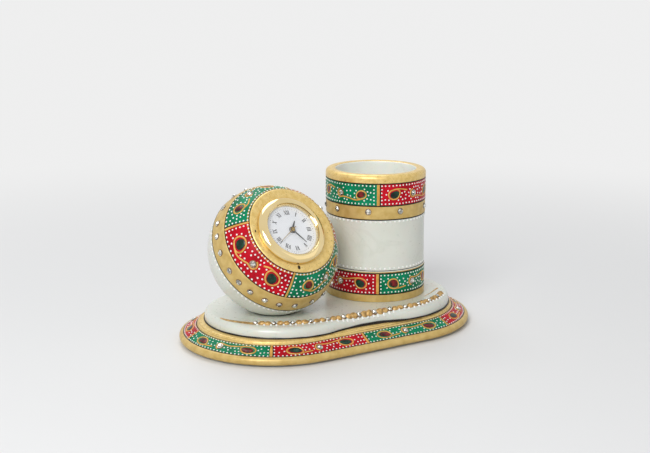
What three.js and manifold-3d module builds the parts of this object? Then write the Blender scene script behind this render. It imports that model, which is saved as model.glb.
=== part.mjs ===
// Pen stand with clock: two marble slabs, a turned pen cup and a turned ball that holds an insert clock.
// Millimetres, +Z up. The origin is on the table under the middle of the base, and the clock faces -Y.
import * as THREE from 'three';
import { mergeVertices } from 'three/addons/utils/BufferGeometryUtils.js';
import Module from 'manifold-3d';

// Base plate: the hull of two circles on the X axis, with a rounded edge, a painted bevel and a ledge
const plateLength = 166.2;
const plateLeftRadius = 49.8;
const plateRightRadius = 53.3;
const edgeHeight = 4.2;
const edgeRound = 2.05;
const bevelRun = 7.0;
const bevelRise = 3.8;
const ledgeRun = 2.4;
const ledgeRise = 2.1;

// Felt pads under the plate
const padRadius = 6;
const padHeight = 1.0;
const padInset = 18;

// Top slab: two lobes with a shallow waist
const slabLength = 140.9;
const slabShift = 1.05;
const slabLeftRadius = 39.8;
const slabRightRadius = 44.3;
const waistRadius = 80;
const slabThickness = 5.5;
const slabRound = 3.4;

// Pen cup, turned about its own upright axis
const cupX = 30.65;
const rowY = -2.1;
const cupRadius = 26.4;
const cupHeight = 67.8;
const cupWall = 4.9;
const reliefHeight = 0.35;
const cupFloor = 7;
const footBandTop = 4.2;
const lowerPanelTop = 15.6;
const bodyBottom = 16.8;
const bodyTop = 44.4;
const stoneBandTop = 51.6;
const upperPanelTop = 63.3;
const rimRound = 2.3;
const rimProud = 0.15;
const bandGroove = 0.4;
const footChamfer = [0.6, 0.8];
const floorCorner = 1;

// Ball, turned about the clock's axis, with a flat that stands on the slab
const ballX = -35.7;
const ballRadius = 33.7;
const ballHalfDepth = 31.35;
const ballSeatHeight = 31.0;
const clockTilt = 37.7;
const lipRadius = 23.5;
const lipFace = 23.3;
const lipRound = 1.5;
const bandFront = 10.9;
const bandBack = 0.5;
const boreRadius = 17.4;
const boreDepth = 28;
const boreOffset = [-1.6, -0.8];

// Insert clock, measured along its axis from a level just before the ball's lip face; the front is positive
const clockProud = 1.2;
const restGap = 0.3;
const runGap = 0.25;
const bezelRadius = 18.3;
const bezelEdge = 0.6;
const bezelHeight = 2.3;
const bezelSkirt = 3.6;
const bezelSkirtWall = 0.7;
const bezelCrest = 0.5;
const lensRadius = 14.0;
const lensThickness = 0.6;
const lensCrown = 0.35;
const lensSeat = 1.0;
const dialSight = 13.3;
const sightSlope = 0.25;
const dialRadius = 15.6;
const dialThickness = 0.3;
const caseRadius = 16.0;
const caseLedgeRadius = 14.9;
const caseInnerRadius = 14.25;
const caseDepth = 15.2;
const caseBack = 1.2;
const caseChamfer = 0.6;
const gasketFront = -4.0;
const gasketLength = 5.0;
const gasketRib = 0.45;
const gasketSkin = 0.5;

// Hands, as angles clockwise from the top
const hourAngle = 35;
const minuteAngle = 146;
const secondAngle = 239;
const hourLength = 5.6;
const minuteLength = 9.3;
const secondLength = 10.0;
const secondTail = 2.6;
const handThickness = 0.15;
const handHubGap = 0.12;
const hourHub = 0.45;
const minuteHub = 0.45;
const secondHub = 1.1;
const hourBlade = [1.1, 0.35];
const minuteBlade = [0.7, 0.25];
const secondBlade = [0.3, 0.22];

// Movement: plates, arbors and wheels
const plateThickness = 0.8;
const mainPlateRadius = 14.5;
const bridgeRadius = 13.8;
const bridgeLevel = -11.0;
const arborRadius = 0.3;
const arborEnd = 0.2;
const tubeGap = 0.2;
const cannonWall = 0.25;
const hourWall = 0.3;
const pillarCircle = 12.5;
const pillarRadius = 1.2;
const pillarAngles = [48, 170, 260];
const pillarSeat = 0.3;
const screwRadius = 0.65;
const screwHeadRadius = 1.2;
const screwHeadHeight = 0.6;
const screwLength = 3.5;
const screwGap = 0.15;
const screwSlot = 0.28;
const wheelThickness = 0.5;
const handTrainModule = 0.3;
const cannonTeeth = 10;
const motionTeeth = 30;
const motionPinionTeeth = 8;
const hourTeeth = 32;
const motionDirection = 150;
const knobTeeth = 15;
const knobDirection = 235;
const knobShaftRadius = 1.0;
const knobRadius = 3.2;
const knobHeight = 2.2;
const knobFlutes = 12;
const fluteRadius = 0.35;
const secondsTeeth = 30;
const secondsPinionTeeth = 6;
const thirdTeeth = 45;
const thirdPinionTeeth = 6;
const centreTeeth = 48;
const thirdModule = 0.26;
const thirdDirection = 20;
const stepTeeth = 36;
const stepPinionTeeth = 6;
const secondsModule = 0.25;
const stepDirection = 110;
const rotorPinionTeeth = 6;
const stepModule = 0.2;
const rotorDirection = 150;
const rotorRadius = 1.7;
const rotorHeight = 1.4;

// Motor, battery and board
const statorGap = 0.4;
const statorRing = 0.6;
const statorThickness = 0.8;
const statorArm = 1.4;
const coreHalfWidth = 0.6;
const coreThickness = 0.7;
const coilY = 10.8;
const coilRadius = 1.5;
const coilGap = 0.4;
const coilHalfLength = 5.4;
const coreHalfLength = 7.0;
const batteryRadius = 5.8;
const batteryHeight = 5.3;
const batteryReach = 7.4;
const batteryDirection = -40;
const batteryStand = 0.9;
const batteryHoleMargin = 0.8;
const hatchClearance = 0.3;
const hatchSlotWidth = 1.4;
const hatchSlotDepth = 0.5;
const boardThickness = 0.5;
const boardDrop = 0.9;
const boardArea = [[-12.5, -0.8], [-9.0, 1.2]];
const contactThickness = 0.2;
const contactGap = 0.15;
const contactWidth = 2.0;
const contactReach = 8.5;

// Rhinestones in the middle of each painted panel
const stoneRadius = 1.45;
const stoneHeight = 0.9;
const stoneGap = 0.08;
const stoneSides = 8;
const panelsRound = 4;
const cupPanelMiddle = 9.6;
const ballPanelMiddle = 64.3;
const ballStoneRadius = 28.2;
const platePanels = 8;
const platePanelStart = -11.3;

// Levels that follow from the sizes above
const plateTop = padHeight + edgeHeight + bevelRise + ledgeRise;
const slabTop = plateTop + slabThickness;
const plateLeftX = plateLeftRadius - plateLength / 2;
const plateRightX = plateLength / 2 - plateRightRadius;
const slabLeftX = slabShift - slabLength / 2 + slabLeftRadius;
const slabRightX = slabShift + slabLength / 2 - slabRightRadius;
const dialTop = -restGap + 0.1;
const dialBack = dialTop - dialThickness;
const mainPlateFront = dialBack - 0.7;
const mainPlateBack = mainPlateFront - plateThickness;
const hourLevel = mainPlateBack - 0.5;
const motionLevel = hourLevel - wheelThickness - 0.4;
const centreLevel = motionLevel - wheelThickness - 0.5;
const secondsLevel = centreLevel - wheelThickness - 0.5;
const thirdLevel = secondsLevel - wheelThickness - 0.2;
const stepLevel = thirdLevel - wheelThickness - 0.4;
const rotorLevel = stepLevel - wheelThickness - 0.5;
const hourHandBack = dialTop + runGap;
const minuteHandBack = hourHandBack + handThickness + runGap;
const secondHandBack = minuteHandBack + handThickness + runGap;
const cannonBore = arborRadius + tubeGap;
const cannonTube = cannonBore + cannonWall;
const hourBore = cannonTube + tubeGap;
const hourTube = hourBore + hourWall;

// How far two joined bodies run into each other, and how far a cutting body runs past what it cuts
const sink = 0.1;
const past = 1;

// Sides of round shapes: large turned pieces, plates and rings, bars and pivots
const plateSides = 16;
const slabSides = 10;
const turnedSides = 40;
const ringSides = 36;
const barSides = 16;
const pivotSides = 10;

const wasm = await Module();
wasm.setup();

const radians = THREE.MathUtils.degToRad;

// A closed body from any closed three.js geometry
function solid(geometry) {
  geometry.deleteAttribute('normal');
  geometry.deleteAttribute('uv');
  const merged = mergeVertices(geometry, 1e-5);
  return new wasm.Manifold(new wasm.Mesh({
    numProp: 3,
    vertProperties: merged.attributes.position.array,
    triVerts: new Uint32Array(merged.index.array),
  }));
}

function join(first, ...others) {
  return others.reduce((sum, other) => sum.add(other), first);
}

function cut(first, ...others) {
  return others.reduce((rest, other) => rest.subtract(other), first);
}

// A body turned about Z from [radius, height] pairs that start and end on the axis or close on themselves
function turned(profile, segments = ringSides) {
  const points = profile.map(([radius, height]) => new THREE.Vector2(radius, height));
  return solid(new THREE.LatheGeometry(points, segments).rotateX(Math.PI / 2));
}

// A ring with a rectangular section
function ring(inner, outer, back, front, segments = ringSides) {
  return turned([[inner, back], [outer, back], [outer, front], [inner, front], [inner, back]], segments);
}

// A round bar along Z
function rod(radius, back, front, at = [0, 0], segments = barSides) {
  const bar = new THREE.CylinderGeometry(radius, radius, front - back, segments);
  return solid(bar.rotateX(Math.PI / 2).translate(at[0], at[1], (back + front) / 2));
}

function box(xRange, yRange, zRange) {
  const size = [xRange, yRange, zRange].map(([low, high]) => high - low);
  const middle = [xRange, yRange, zRange].map(([low, high]) => (low + high) / 2);
  return solid(new THREE.BoxGeometry(...size).translate(...middle));
}

function extruded(shape, back, front, curveSegments = 12) {
  const depth = front - back;
  const geometry = new THREE.ExtrudeGeometry(shape, { depth, bevelEnabled: false, curveSegments });
  return solid(geometry.translate(0, 0, back));
}

// Points of quarter of an ellipse, from one corner to the other
function quarter(from, to, steps, startsUpright) {
  return Array.from({ length: steps + 1 }, (_, step) => {
    const turn = (step / steps) * (Math.PI / 2);
    const across = startsUpright ? 1 - Math.cos(turn) : Math.sin(turn);
    const along = startsUpright ? Math.sin(turn) : 1 - Math.cos(turn);
    return [from[0] + (to[0] - from[0]) * across, from[1] + (to[1] - from[1]) * along];
  });
}

// A point at a distance in a direction, in degrees from +X
function polar(distance, degrees, from = [0, 0]) {
  const angle = radians(degrees);
  return [from[0] + distance * Math.cos(angle), from[1] + distance * Math.sin(angle)];
}

const model = new THREE.Group();

function addMesh(name, body, material, parent = model) {
  const faces = body.getMesh();
  const geometry = new THREE.BufferGeometry();
  geometry.setAttribute('position', new THREE.BufferAttribute(new Float32Array(faces.vertProperties), 3));
  geometry.setIndex(new THREE.BufferAttribute(new Uint32Array(faces.triVerts), 1));
  geometry.computeVertexNormals();
  const mesh = new THREE.Mesh(geometry, new THREE.MeshStandardMaterial(material));
  mesh.name = name;
  parent.add(mesh);
  return mesh;
}

const marble = { color: '#e6e8df', roughness: 0.35, metalness: 0 };
const felt = { color: '#2f4a38', roughness: 0.95, metalness: 0 };
const brass = { color: '#e2c27a', roughness: 0.12, metalness: 1 };
const glass = { color: '#f4f8fa', roughness: 0.03, metalness: 0 };
const paper = { color: '#f3f4f6', roughness: 0.6, metalness: 0 };
const handGold = { color: '#b08d3c', roughness: 0.3, metalness: 1 };
const handBlack = { color: '#1c1a17', roughness: 0.5, metalness: 0.2 };
const blackPlastic = { color: '#24262a', roughness: 0.45, metalness: 0 };
const clearRubber = { color: '#d8dad2', roughness: 0.6, metalness: 0 };
const creamPlastic = { color: '#efeee6', roughness: 0.4, metalness: 0 };
const steel = { color: '#b9bcc0', roughness: 0.3, metalness: 1 };
const magnet = { color: '#3a3a3d', roughness: 0.6, metalness: 0.3 };
const copper = { color: '#b5673a', roughness: 0.35, metalness: 1 };
const board = { color: '#2f6b45', roughness: 0.5, metalness: 0 };
const crystal = { color: '#eef3f7', roughness: 0.05, metalness: 0.1 };

// Outline of the plate, drawn in by an inset
function plateOutline(inset) {
  const left = plateLeftRadius - inset;
  const right = plateRightRadius - inset;
  const tangent = Math.acos((left - right) / (plateRightX - plateLeftX));
  const shape = new THREE.Shape();
  shape.absarc(plateLeftX, 0, left, tangent, 2 * Math.PI - tangent);
  shape.absarc(plateRightX, 0, right, -tangent, tangent);
  shape.closePath();
  return shape;
}

// Outline of the slab: each lobe runs into a hollow arc at the waist
function slabOutline() {
  const span = slabRightX - slabLeftX;
  const toLeft = slabLeftRadius + waistRadius;
  const toRight = slabRightRadius + waistRadius;
  const waistX = slabLeftX + (span ** 2 + toLeft ** 2 - toRight ** 2) / (2 * span);
  const waistY = Math.sqrt(toLeft ** 2 - (waistX - slabLeftX) ** 2);
  const leftTurn = Math.atan2(waistY, waistX - slabLeftX);
  const rightTurn = Math.atan2(waistY, waistX - slabRightX);
  const shape = new THREE.Shape();
  shape.absarc(slabLeftX, 0, slabLeftRadius, leftTurn, 2 * Math.PI - leftTurn);
  shape.absarc(waistX, -waistY, waistRadius, Math.PI - leftTurn, Math.PI - rightTurn, true);
  shape.absarc(slabRightX, 0, slabRightRadius, -rightTurn, rightTurn);
  shape.absarc(waistX, waistY, waistRadius, Math.PI + rightTurn, Math.PI + leftTurn, true);
  return shape;
}

// A flat body whose edge is worked over a run and a rise at its top and its bottom
function edged(shape, bottom, top, run, rise, steps, curveSegments) {
  const geometry = new THREE.ExtrudeGeometry(shape, {
    depth: top - bottom - 2 * rise,
    bevelThickness: rise,
    bevelSize: run,
    bevelOffset: -run,
    bevelSegments: steps,
    curveSegments,
  });
  return solid(geometry.translate(0, 0, bottom + rise));
}

function buildBasePlate() {
  const edgeTop = padHeight + edgeHeight;
  const bevelTop = edgeTop + bevelRise;
  const edge = edged(plateOutline(0), padHeight, edgeTop, edgeRound, edgeRound, 3, plateSides);
  const bevelBottom = edgeTop - bevelRise - sink;
  const bevel = edged(plateOutline(edgeRound), bevelBottom, bevelTop, bevelRun, bevelRise, 1, plateSides);
  const ledgeInset = edgeRound + bevelRun;
  const ledgeBottom = bevelTop - ledgeRise - sink;
  const ledge = edged(plateOutline(ledgeInset), ledgeBottom, plateTop, ledgeRun, ledgeRise, 1, plateSides);
  addMesh('base_plate', join(edge, bevel, ledge), marble);
}

function buildPads() {
  const spots = [
    [plateLeftX - plateLeftRadius + padInset + padRadius, 0],
    [plateRightX + plateRightRadius - padInset - padRadius, 0],
    [0, padInset - plateLeftRadius],
    [0, plateLeftRadius - padInset],
  ];
  spots.forEach((spot, index) => {
    addMesh(`felt_pad_${index + 1}`, rod(padRadius, 0, padHeight, spot, barSides), felt);
  });
}

function buildTopSlab() {
  const full = edged(slabOutline(), plateTop - slabRound, slabTop, slabRound, slabRound, 4, slabSides);
  const reach = plateLength;
  const below = box([-reach, reach], [-reach, reach], [plateTop - reach, plateTop]);
  addMesh('top_slab', cut(full, below), marble);
}

function buildPenCup() {
  const raised = cupRadius + reliefHeight;
  const rim = raised + rimProud;
  const inner = cupRadius - cupWall;
  const profile = [
    [0, 0],
    [rim - footChamfer[0], 0],
    [rim, footChamfer[1]],
    [rim, footBandTop - bandGroove],
    [raised, footBandTop],
    [raised, bodyBottom - bandGroove],
    [cupRadius, bodyBottom],
    [cupRadius, bodyTop],
    [raised, bodyTop + bandGroove],
    [raised, upperPanelTop],
    [rim, upperPanelTop + bandGroove],
    ...quarter([rim, cupHeight - rimRound], [rim - rimRound, cupHeight], 4, true),
    ...quarter([inner + rimRound, cupHeight], [inner, cupHeight - rimRound], 3, false),
    [inner, cupFloor + floorCorner],
    [inner - floorCorner, cupFloor],
    [0, cupFloor],
  ];
  const cup = turned(profile, turnedSides).translate([cupX, rowY, slabTop]);
  addMesh('pen_cup', cup, marble);
}

// The clock's frame: X to the right and Y up on the dial, Z out of it
const ballCentre = new THREE.Vector3(ballX, rowY, slabTop + ballSeatHeight);
const tilt = radians(90 - clockTilt);
const clockAxis = new THREE.Vector3(0, -Math.sin(tilt), Math.cos(tilt));
const clockUp = new THREE.Vector3(0, Math.cos(tilt), Math.sin(tilt));
const clock = new THREE.Group();
clock.rotation.x = tilt;
clock.position.copy(ballCentre).addScaledVector(clockAxis, lipFace + clockProud);
clock.position.x += boreOffset[0];
clock.position.addScaledVector(clockUp, boreOffset[1]);
model.add(clock);

function ballRadiusAt(depth) {
  return ballRadius * Math.sqrt(1 - (depth / ballHalfDepth) ** 2);
}

function buildBall() {
  const lipStart = ballHalfDepth * Math.sqrt(1 - (lipRadius / ballRadius) ** 2);
  const steps = 9;
  const backDepths = Array.from({ length: steps }, (_, step) => (
    -ballHalfDepth * Math.cos((step / steps) * (Math.PI / 2))
  ));
  const band = [bandBack, bandBack + 0.3, (bandBack + bandFront) / 2, bandFront - 0.3, bandFront];
  const panel = [0.25, 0.5, 0.75].map((share) => bandFront + (lipStart - bandFront) * share);
  const relief = (depth) => (depth > bandBack && depth < bandFront ? reliefHeight : 0);
  const profile = [
    ...backDepths.map((depth) => [ballRadiusAt(depth), depth]),
    ...band.map((depth) => [ballRadiusAt(depth) + relief(depth), depth]),
    ...panel.map((depth) => [ballRadiusAt(depth), depth]),
    ...quarter([lipRadius, lipStart], [lipRadius - lipRound, lipFace], 4, true),
    [0, lipFace],
  ];
  profile[0][0] = 0;
  const bore = rod(boreRadius, lipFace - boreDepth, lipFace + past, boreOffset, turnedSides);
  const reach = 2 * ballRadius;
  const aboveSlab = box([-reach, reach], [-reach, reach], [slabTop, slabTop + 2 * reach]);
  const tilted = cut(turned(profile, turnedSides), bore).rotate([90 - clockTilt, 0, 0]);
  const placed = tilted.translate(ballCentre.toArray());
  const ball = placed.intersect(aboveSlab.translate([ballX, rowY, 0]));
  addMesh('clock_ball', ball, marble);
}

function buildBezelAndLens() {
  const lensPocket = lensRadius + restGap;
  const skirtOuter = boreRadius - restGap;
  const skirtInner = skirtOuter - bezelSkirtWall;
  const underside = dialTop + restGap;
  const flange = restGap - clockProud;
  const bezel = turned([
    [dialSight, underside],
    [skirtInner, underside],
    [skirtInner, -bezelSkirt],
    [skirtOuter, -bezelSkirt],
    [skirtOuter, flange],
    [bezelRadius, flange],
    ...quarter([bezelRadius, flange + bezelEdge], [lensPocket + bezelCrest, bezelHeight], 4, true),
    [lensPocket, bezelHeight],
    [lensPocket, lensSeat],
    [dialSight + sightSlope, lensSeat],
    [dialSight, underside],
  ]);
  addMesh('bezel', bezel, brass, clock);
  const lensBack = lensSeat + runGap;
  const lensFront = lensBack + lensThickness;
  const lens = turned([
    [0, lensBack],
    [lensRadius, lensBack],
    [lensRadius, lensFront],
    [lensRadius * 0.66, lensFront + lensCrown * 0.56],
    [lensRadius * 0.33, lensFront + lensCrown * 0.89],
    [0, lensFront + lensCrown],
  ]);
  addMesh('lens', lens, glass, clock);
}

const centre = [0, 0];
const batterySpot = polar(batteryReach, batteryDirection);
const motionSpot = polar(handTrainModule * (cannonTeeth + motionTeeth) / 2, motionDirection);
const knobSpot = polar(handTrainModule * (motionTeeth + knobTeeth) / 2, knobDirection, motionSpot);
const thirdSpot = polar(thirdModule * (secondsPinionTeeth + thirdTeeth) / 2, thirdDirection);
const stepSpot = polar(secondsModule * (stepPinionTeeth + secondsTeeth) / 2, stepDirection);
const rotorSpot = polar(stepModule * (rotorPinionTeeth + stepTeeth) / 2, rotorDirection, stepSpot);
const pillarSpots = pillarAngles.map((angle) => polar(pillarCircle, angle));
const hatchHole = batteryRadius + batteryHoleMargin;
const caseFloor = caseBack - caseDepth;
const batteryBack = caseFloor + batteryStand;
const batteryFront = batteryBack + batteryHeight;

function buildCase() {
  const ledge = mainPlateBack - restGap;
  const cup = turned([
    [0, -caseDepth],
    [caseRadius - caseChamfer, -caseDepth],
    [caseRadius, -caseDepth + caseChamfer],
    [caseRadius, dialBack - restGap],
    [caseLedgeRadius, dialBack - restGap],
    [caseLedgeRadius, ledge],
    [caseInnerRadius, ledge],
    [caseInnerRadius, caseFloor],
    [0, caseFloor],
  ]);
  const through = [-caseDepth - past, caseFloor + past];
  const hatchOpening = rod(hatchHole, ...through, batterySpot, ringSides);
  const knobOpening = rod(knobShaftRadius + runGap, ...through, knobSpot);
  addMesh('clock_case', cut(cup, hatchOpening, knobOpening), blackPlastic, clock);

  const hatch = cut(
    join(
      rod(hatchHole - hatchClearance, -caseDepth, caseFloor, batterySpot, ringSides),
      rod(batteryRadius - 1, caseFloor - sink, batteryBack - restGap, batterySpot, ringSides),
    ),
    box(
      [batterySpot[0] - batteryRadius, batterySpot[0] + batteryRadius],
      [batterySpot[1] - hatchSlotWidth / 2, batterySpot[1] + hatchSlotWidth / 2],
      [-caseDepth - past, -caseDepth + hatchSlotDepth],
    ),
  );
  addMesh('battery_hatch', hatch, blackPlastic, clock);
}

function buildGasket() {
  const inner = caseRadius + restGap;
  const skin = inner + gasketSkin;
  const rib = skin + gasketRib;
  const ribs = 3;
  const pitch = gasketLength / ribs;
  const back = gasketFront - gasketLength;
  const outside = Array.from({ length: ribs }, (_, index) => [
    [skin, back + index * pitch],
    [rib, back + (index + 0.5) * pitch],
  ]).flat();
  const inside = [[inner, gasketFront], [inner, back]];
  const sleeve = turned([[inner, back], ...outside, [skin, gasketFront], ...inside]);
  addMesh('grip_sleeve', sleeve, clearRubber, clock);
}

function buildDial() {
  addMesh('dial', ring(hourTube + runGap, dialRadius, dialBack, dialTop), paper, clock);
}

// A wheel's toothed outline; the first tooth points along the turn angle, in degrees
function gearShape(teeth, module, turn) {
  const pitch = (2 * Math.PI) / teeth;
  const root = module * (teeth / 2 - 1.25);
  const tip = module * (teeth / 2 + 0.85);
  const corners = [[root, -0.29], [tip, -0.11], [tip, 0.11], [root, 0.29]];
  const points = Array.from({ length: teeth }, (_, tooth) => corners.map(([radius, share]) => {
    const angle = radians(turn) + (tooth + share) * pitch;
    return new THREE.Vector2(radius * Math.cos(angle), radius * Math.sin(angle));
  })).flat();
  return new THREE.Shape(points);
}

// A wheel whose front face is at a level
function gear(teeth, module, turn, level, at, thickness = wheelThickness) {
  return extruded(gearShape(teeth, module, turn), level - thickness, level).translate([at[0], at[1], 0]);
}

// The turn that puts a gap of the second wheel on a tooth of the first, in the direction from first to second
function meshTurn(firstTeeth, firstTurn, direction, secondTeeth) {
  const share = ((direction - firstTurn) * firstTeeth) / 360;
  return direction + 180 - ((0.5 - share) * 360) / secondTeeth;
}

// A hand that points up: a hub with a tapering blade, and a tail where it has one
// A hand with a pierced hub; its blade is given as the widest place and the tip
function hand(length, tail, [widest, tip], hubRadius, hole, back, angle) {
  const blade = new THREE.Shape([
    new THREE.Vector2(-tip, -tail),
    new THREE.Vector2(tip, -tail),
    new THREE.Vector2(widest / 2, length * 0.35),
    new THREE.Vector2(tip / 2, length),
    new THREE.Vector2(-tip / 2, length),
    new THREE.Vector2(-widest / 2, length * 0.35),
  ]);
  const front = back + handThickness;
  const body = join(extruded(blade, back, front), rod(hubRadius, back, front));
  return cut(body, rod(hole, back - past, front + past)).rotate([0, 0, -angle]);
}

const cannonTurn = -minuteAngle;
const motionTurn = meshTurn(cannonTeeth, cannonTurn, motionDirection, motionTeeth);
const hourTurn = meshTurn(motionPinionTeeth, motionTurn, motionDirection + 180, hourTeeth);
const knobTurn = meshTurn(motionTeeth, motionTurn, knobDirection, knobTeeth);
const hourModule = (handTrainModule * (cannonTeeth + motionTeeth)) / (motionPinionTeeth + hourTeeth);
const secondsTurn = -secondAngle;
const thirdTurn = meshTurn(secondsPinionTeeth, secondsTurn, thirdDirection, thirdTeeth);
const centreModule = (thirdModule * (secondsPinionTeeth + thirdTeeth)) / (thirdPinionTeeth + centreTeeth);
const centreTurn = meshTurn(thirdPinionTeeth, thirdTurn, thirdDirection + 180, centreTeeth);
const stepTurn = meshTurn(secondsTeeth, secondsTurn, stepDirection, stepPinionTeeth);
const rotorTurn = meshTurn(stepTeeth, stepTurn, rotorDirection, rotorPinionTeeth);

function buildHands() {
  const hourHole = hourTube + handHubGap;
  const minuteHole = cannonTube + handHubGap;
  const secondHole = arborRadius + handHubGap;
  const hourHand = hand(hourLength, 0, hourBlade, hourTube + hourHub, hourHole, hourHandBack, hourAngle);
  const minuteHand = hand(
    minuteLength, 0, minuteBlade, cannonTube + minuteHub, minuteHole, minuteHandBack, minuteAngle,
  );
  const secondHand = hand(
    secondLength, secondTail, secondBlade, secondHub, secondHole, secondHandBack, secondAngle,
  );
  addMesh('hour_hand', hourHand, handBlack, clock);
  addMesh('minute_hand', minuteHand, handBlack, clock);
  addMesh('second_hand', secondHand, handGold, clock);
}

// Wheels of the hand train, which the setting knob turns
function buildHandTrain() {
  const hourFront = hourHandBack + handThickness;
  const hourWheel = cut(
    join(
      gear(hourTeeth, hourModule, hourTurn, hourLevel, centre),
      rod(hourTube, hourLevel - sink, hourFront),
    ),
    rod(hourBore, motionLevel, hourFront + past),
  );
  addMesh('hour_wheel', hourWheel, creamPlastic, clock);

  const cannonFront = minuteHandBack + handThickness;
  const cannon = cut(
    join(
      gear(cannonTeeth, handTrainModule, cannonTurn, motionLevel, centre),
      rod(cannonTube, motionLevel - wheelThickness, cannonFront),
    ),
    rod(cannonBore, motionLevel - wheelThickness - past, cannonFront + past),
  );
  addMesh('cannon_pinion', cannon, brass, clock);

  const motionWheel = join(
    gear(motionTeeth, handTrainModule, motionTurn, motionLevel, motionSpot),
    gear(motionPinionTeeth, hourModule, motionTurn, hourLevel, motionSpot, hourLevel - motionLevel + sink),
    rod(arborRadius, motionLevel - wheelThickness, mainPlateFront - arborEnd, motionSpot),
  );
  addMesh('motion_wheel', motionWheel, creamPlastic, clock);

  const knobFront = -caseDepth - restGap;
  const flutes = Array.from({ length: knobFlutes }, (_, flute) => {
    const spot = polar(knobRadius, (flute * 360) / knobFlutes, knobSpot);
    return rod(fluteRadius, knobFront - knobHeight - past, knobFront + past, spot, 6);
  });
  const knob = cut(rod(knobRadius, knobFront - knobHeight, knobFront, knobSpot, ringSides), ...flutes);
  const setting = join(
    knob,
    rod(knobShaftRadius, knobFront - sink, motionLevel - wheelThickness + sink, knobSpot),
    gear(knobTeeth, handTrainModule, knobTurn, motionLevel, knobSpot),
    rod(arborRadius, motionLevel - sink, mainPlateFront - arborEnd, knobSpot),
  );
  addMesh('setting_knob', setting, creamPlastic, clock);
}

// Wheels of the going train, from the motor to the centre wheel
function buildGoingTrain() {
  const pivotBack = bridgeLevel;
  const centreWheel = cut(
    gear(centreTeeth, centreModule, centreTurn, centreLevel, centre),
    rod(cannonBore, centreLevel - wheelThickness - past, centreLevel + past),
  );
  addMesh('centre_wheel', centreWheel, brass, clock);

  const pinionLength = wheelThickness + 2 * sink;
  const secondsWheel = join(
    gear(secondsTeeth, secondsModule, secondsTurn, secondsLevel, centre),
    gear(secondsPinionTeeth, thirdModule, secondsTurn, thirdLevel + sink, centre, pinionLength),
    rod(arborRadius, pivotBack, secondHandBack + handThickness),
  );
  addMesh('seconds_wheel', secondsWheel, brass, clock);

  const thirdPinionLength = centreLevel - thirdLevel + sink;
  const thirdWheel = join(
    gear(thirdTeeth, thirdModule, thirdTurn, thirdLevel, thirdSpot),
    gear(thirdPinionTeeth, centreModule, thirdTurn, centreLevel, thirdSpot, thirdPinionLength),
    rod(arborRadius, pivotBack, mainPlateFront - arborEnd, thirdSpot),
  );
  addMesh('third_wheel', thirdWheel, creamPlastic, clock);

  const stepWheel = join(
    gear(stepTeeth, stepModule, stepTurn, stepLevel, stepSpot),
    gear(stepPinionTeeth, secondsModule, stepTurn, secondsLevel, stepSpot, secondsLevel - stepLevel + sink),
    rod(arborRadius, pivotBack, stepLevel, stepSpot),
  );
  addMesh('step_wheel', stepWheel, creamPlastic, clock);

  const rotor = join(
    gear(rotorPinionTeeth, stepModule, rotorTurn, stepLevel, rotorSpot, stepLevel - rotorLevel + sink),
    rod(rotorRadius, rotorLevel - rotorHeight, rotorLevel, rotorSpot),
    rod(arborRadius, pivotBack, rotorLevel, rotorSpot),
  );
  addMesh('rotor', rotor, magnet, clock);
}

// Two plates joined by three pillars and screws hold the wheels
function buildPlates() {
  const pivot = arborRadius + runGap;
  const bridgeFront = bridgeLevel + plateThickness;
  const pillars = pillarSpots.map((spot) => (
    rod(pillarRadius, bridgeFront + pillarSeat, mainPlateBack + sink, spot)
  ));
  const screwHoles = pillarSpots.map((spot) => (
    rod(screwRadius + screwGap, bridgeLevel - past, bridgeLevel + screwLength + screwGap, spot)
  ));
  const throughMain = [mainPlateBack - past, mainPlateFront + past];
  const mainPlate = cut(
    join(rod(mainPlateRadius, mainPlateBack, mainPlateFront, centre, ringSides), ...pillars),
    rod(hourTube + runGap, ...throughMain),
    ...[motionSpot, knobSpot, thirdSpot].map((spot) => rod(pivot, ...throughMain, spot, pivotSides)),
    ...screwHoles,
  );
  addMesh('main_plate', mainPlate, creamPlastic, clock);

  const throughBridge = [bridgeLevel - past, bridgeFront + past];
  const bridge = cut(
    rod(bridgeRadius, bridgeLevel, bridgeFront, centre, ringSides),
    rod(batteryRadius + batteryHoleMargin, ...throughBridge, batterySpot, ringSides),
    box([-bridgeRadius, bridgeRadius], [coilY - coilRadius - coilGap, bridgeRadius], throughBridge),
    rod(knobShaftRadius + runGap, ...throughBridge, knobSpot),
    ...[centre, thirdSpot, stepSpot, rotorSpot].map((spot) => rod(pivot, ...throughBridge, spot, pivotSides)),
    ...screwHoles,
  );
  addMesh('rear_bridge', bridge, creamPlastic, clock);

  const headFront = bridgeLevel - restGap;
  const headBack = headFront - screwHeadHeight;
  pillarSpots.forEach((spot, index) => {
    const head = rod(screwHeadRadius, headBack, headFront, spot);
    const shank = rod(screwRadius, headFront - sink, bridgeLevel + screwLength, spot);
    const slot = box(
      [spot[0] - screwHeadRadius - past, spot[0] + screwHeadRadius + past],
      [spot[1] - screwSlot / 2, spot[1] + screwSlot / 2],
      [headBack - past, headBack + screwSlot],
    );
    addMesh(`movement_screw_${index + 1}`, cut(join(head, shank), slot), steel, clock);
  });
}

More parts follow.
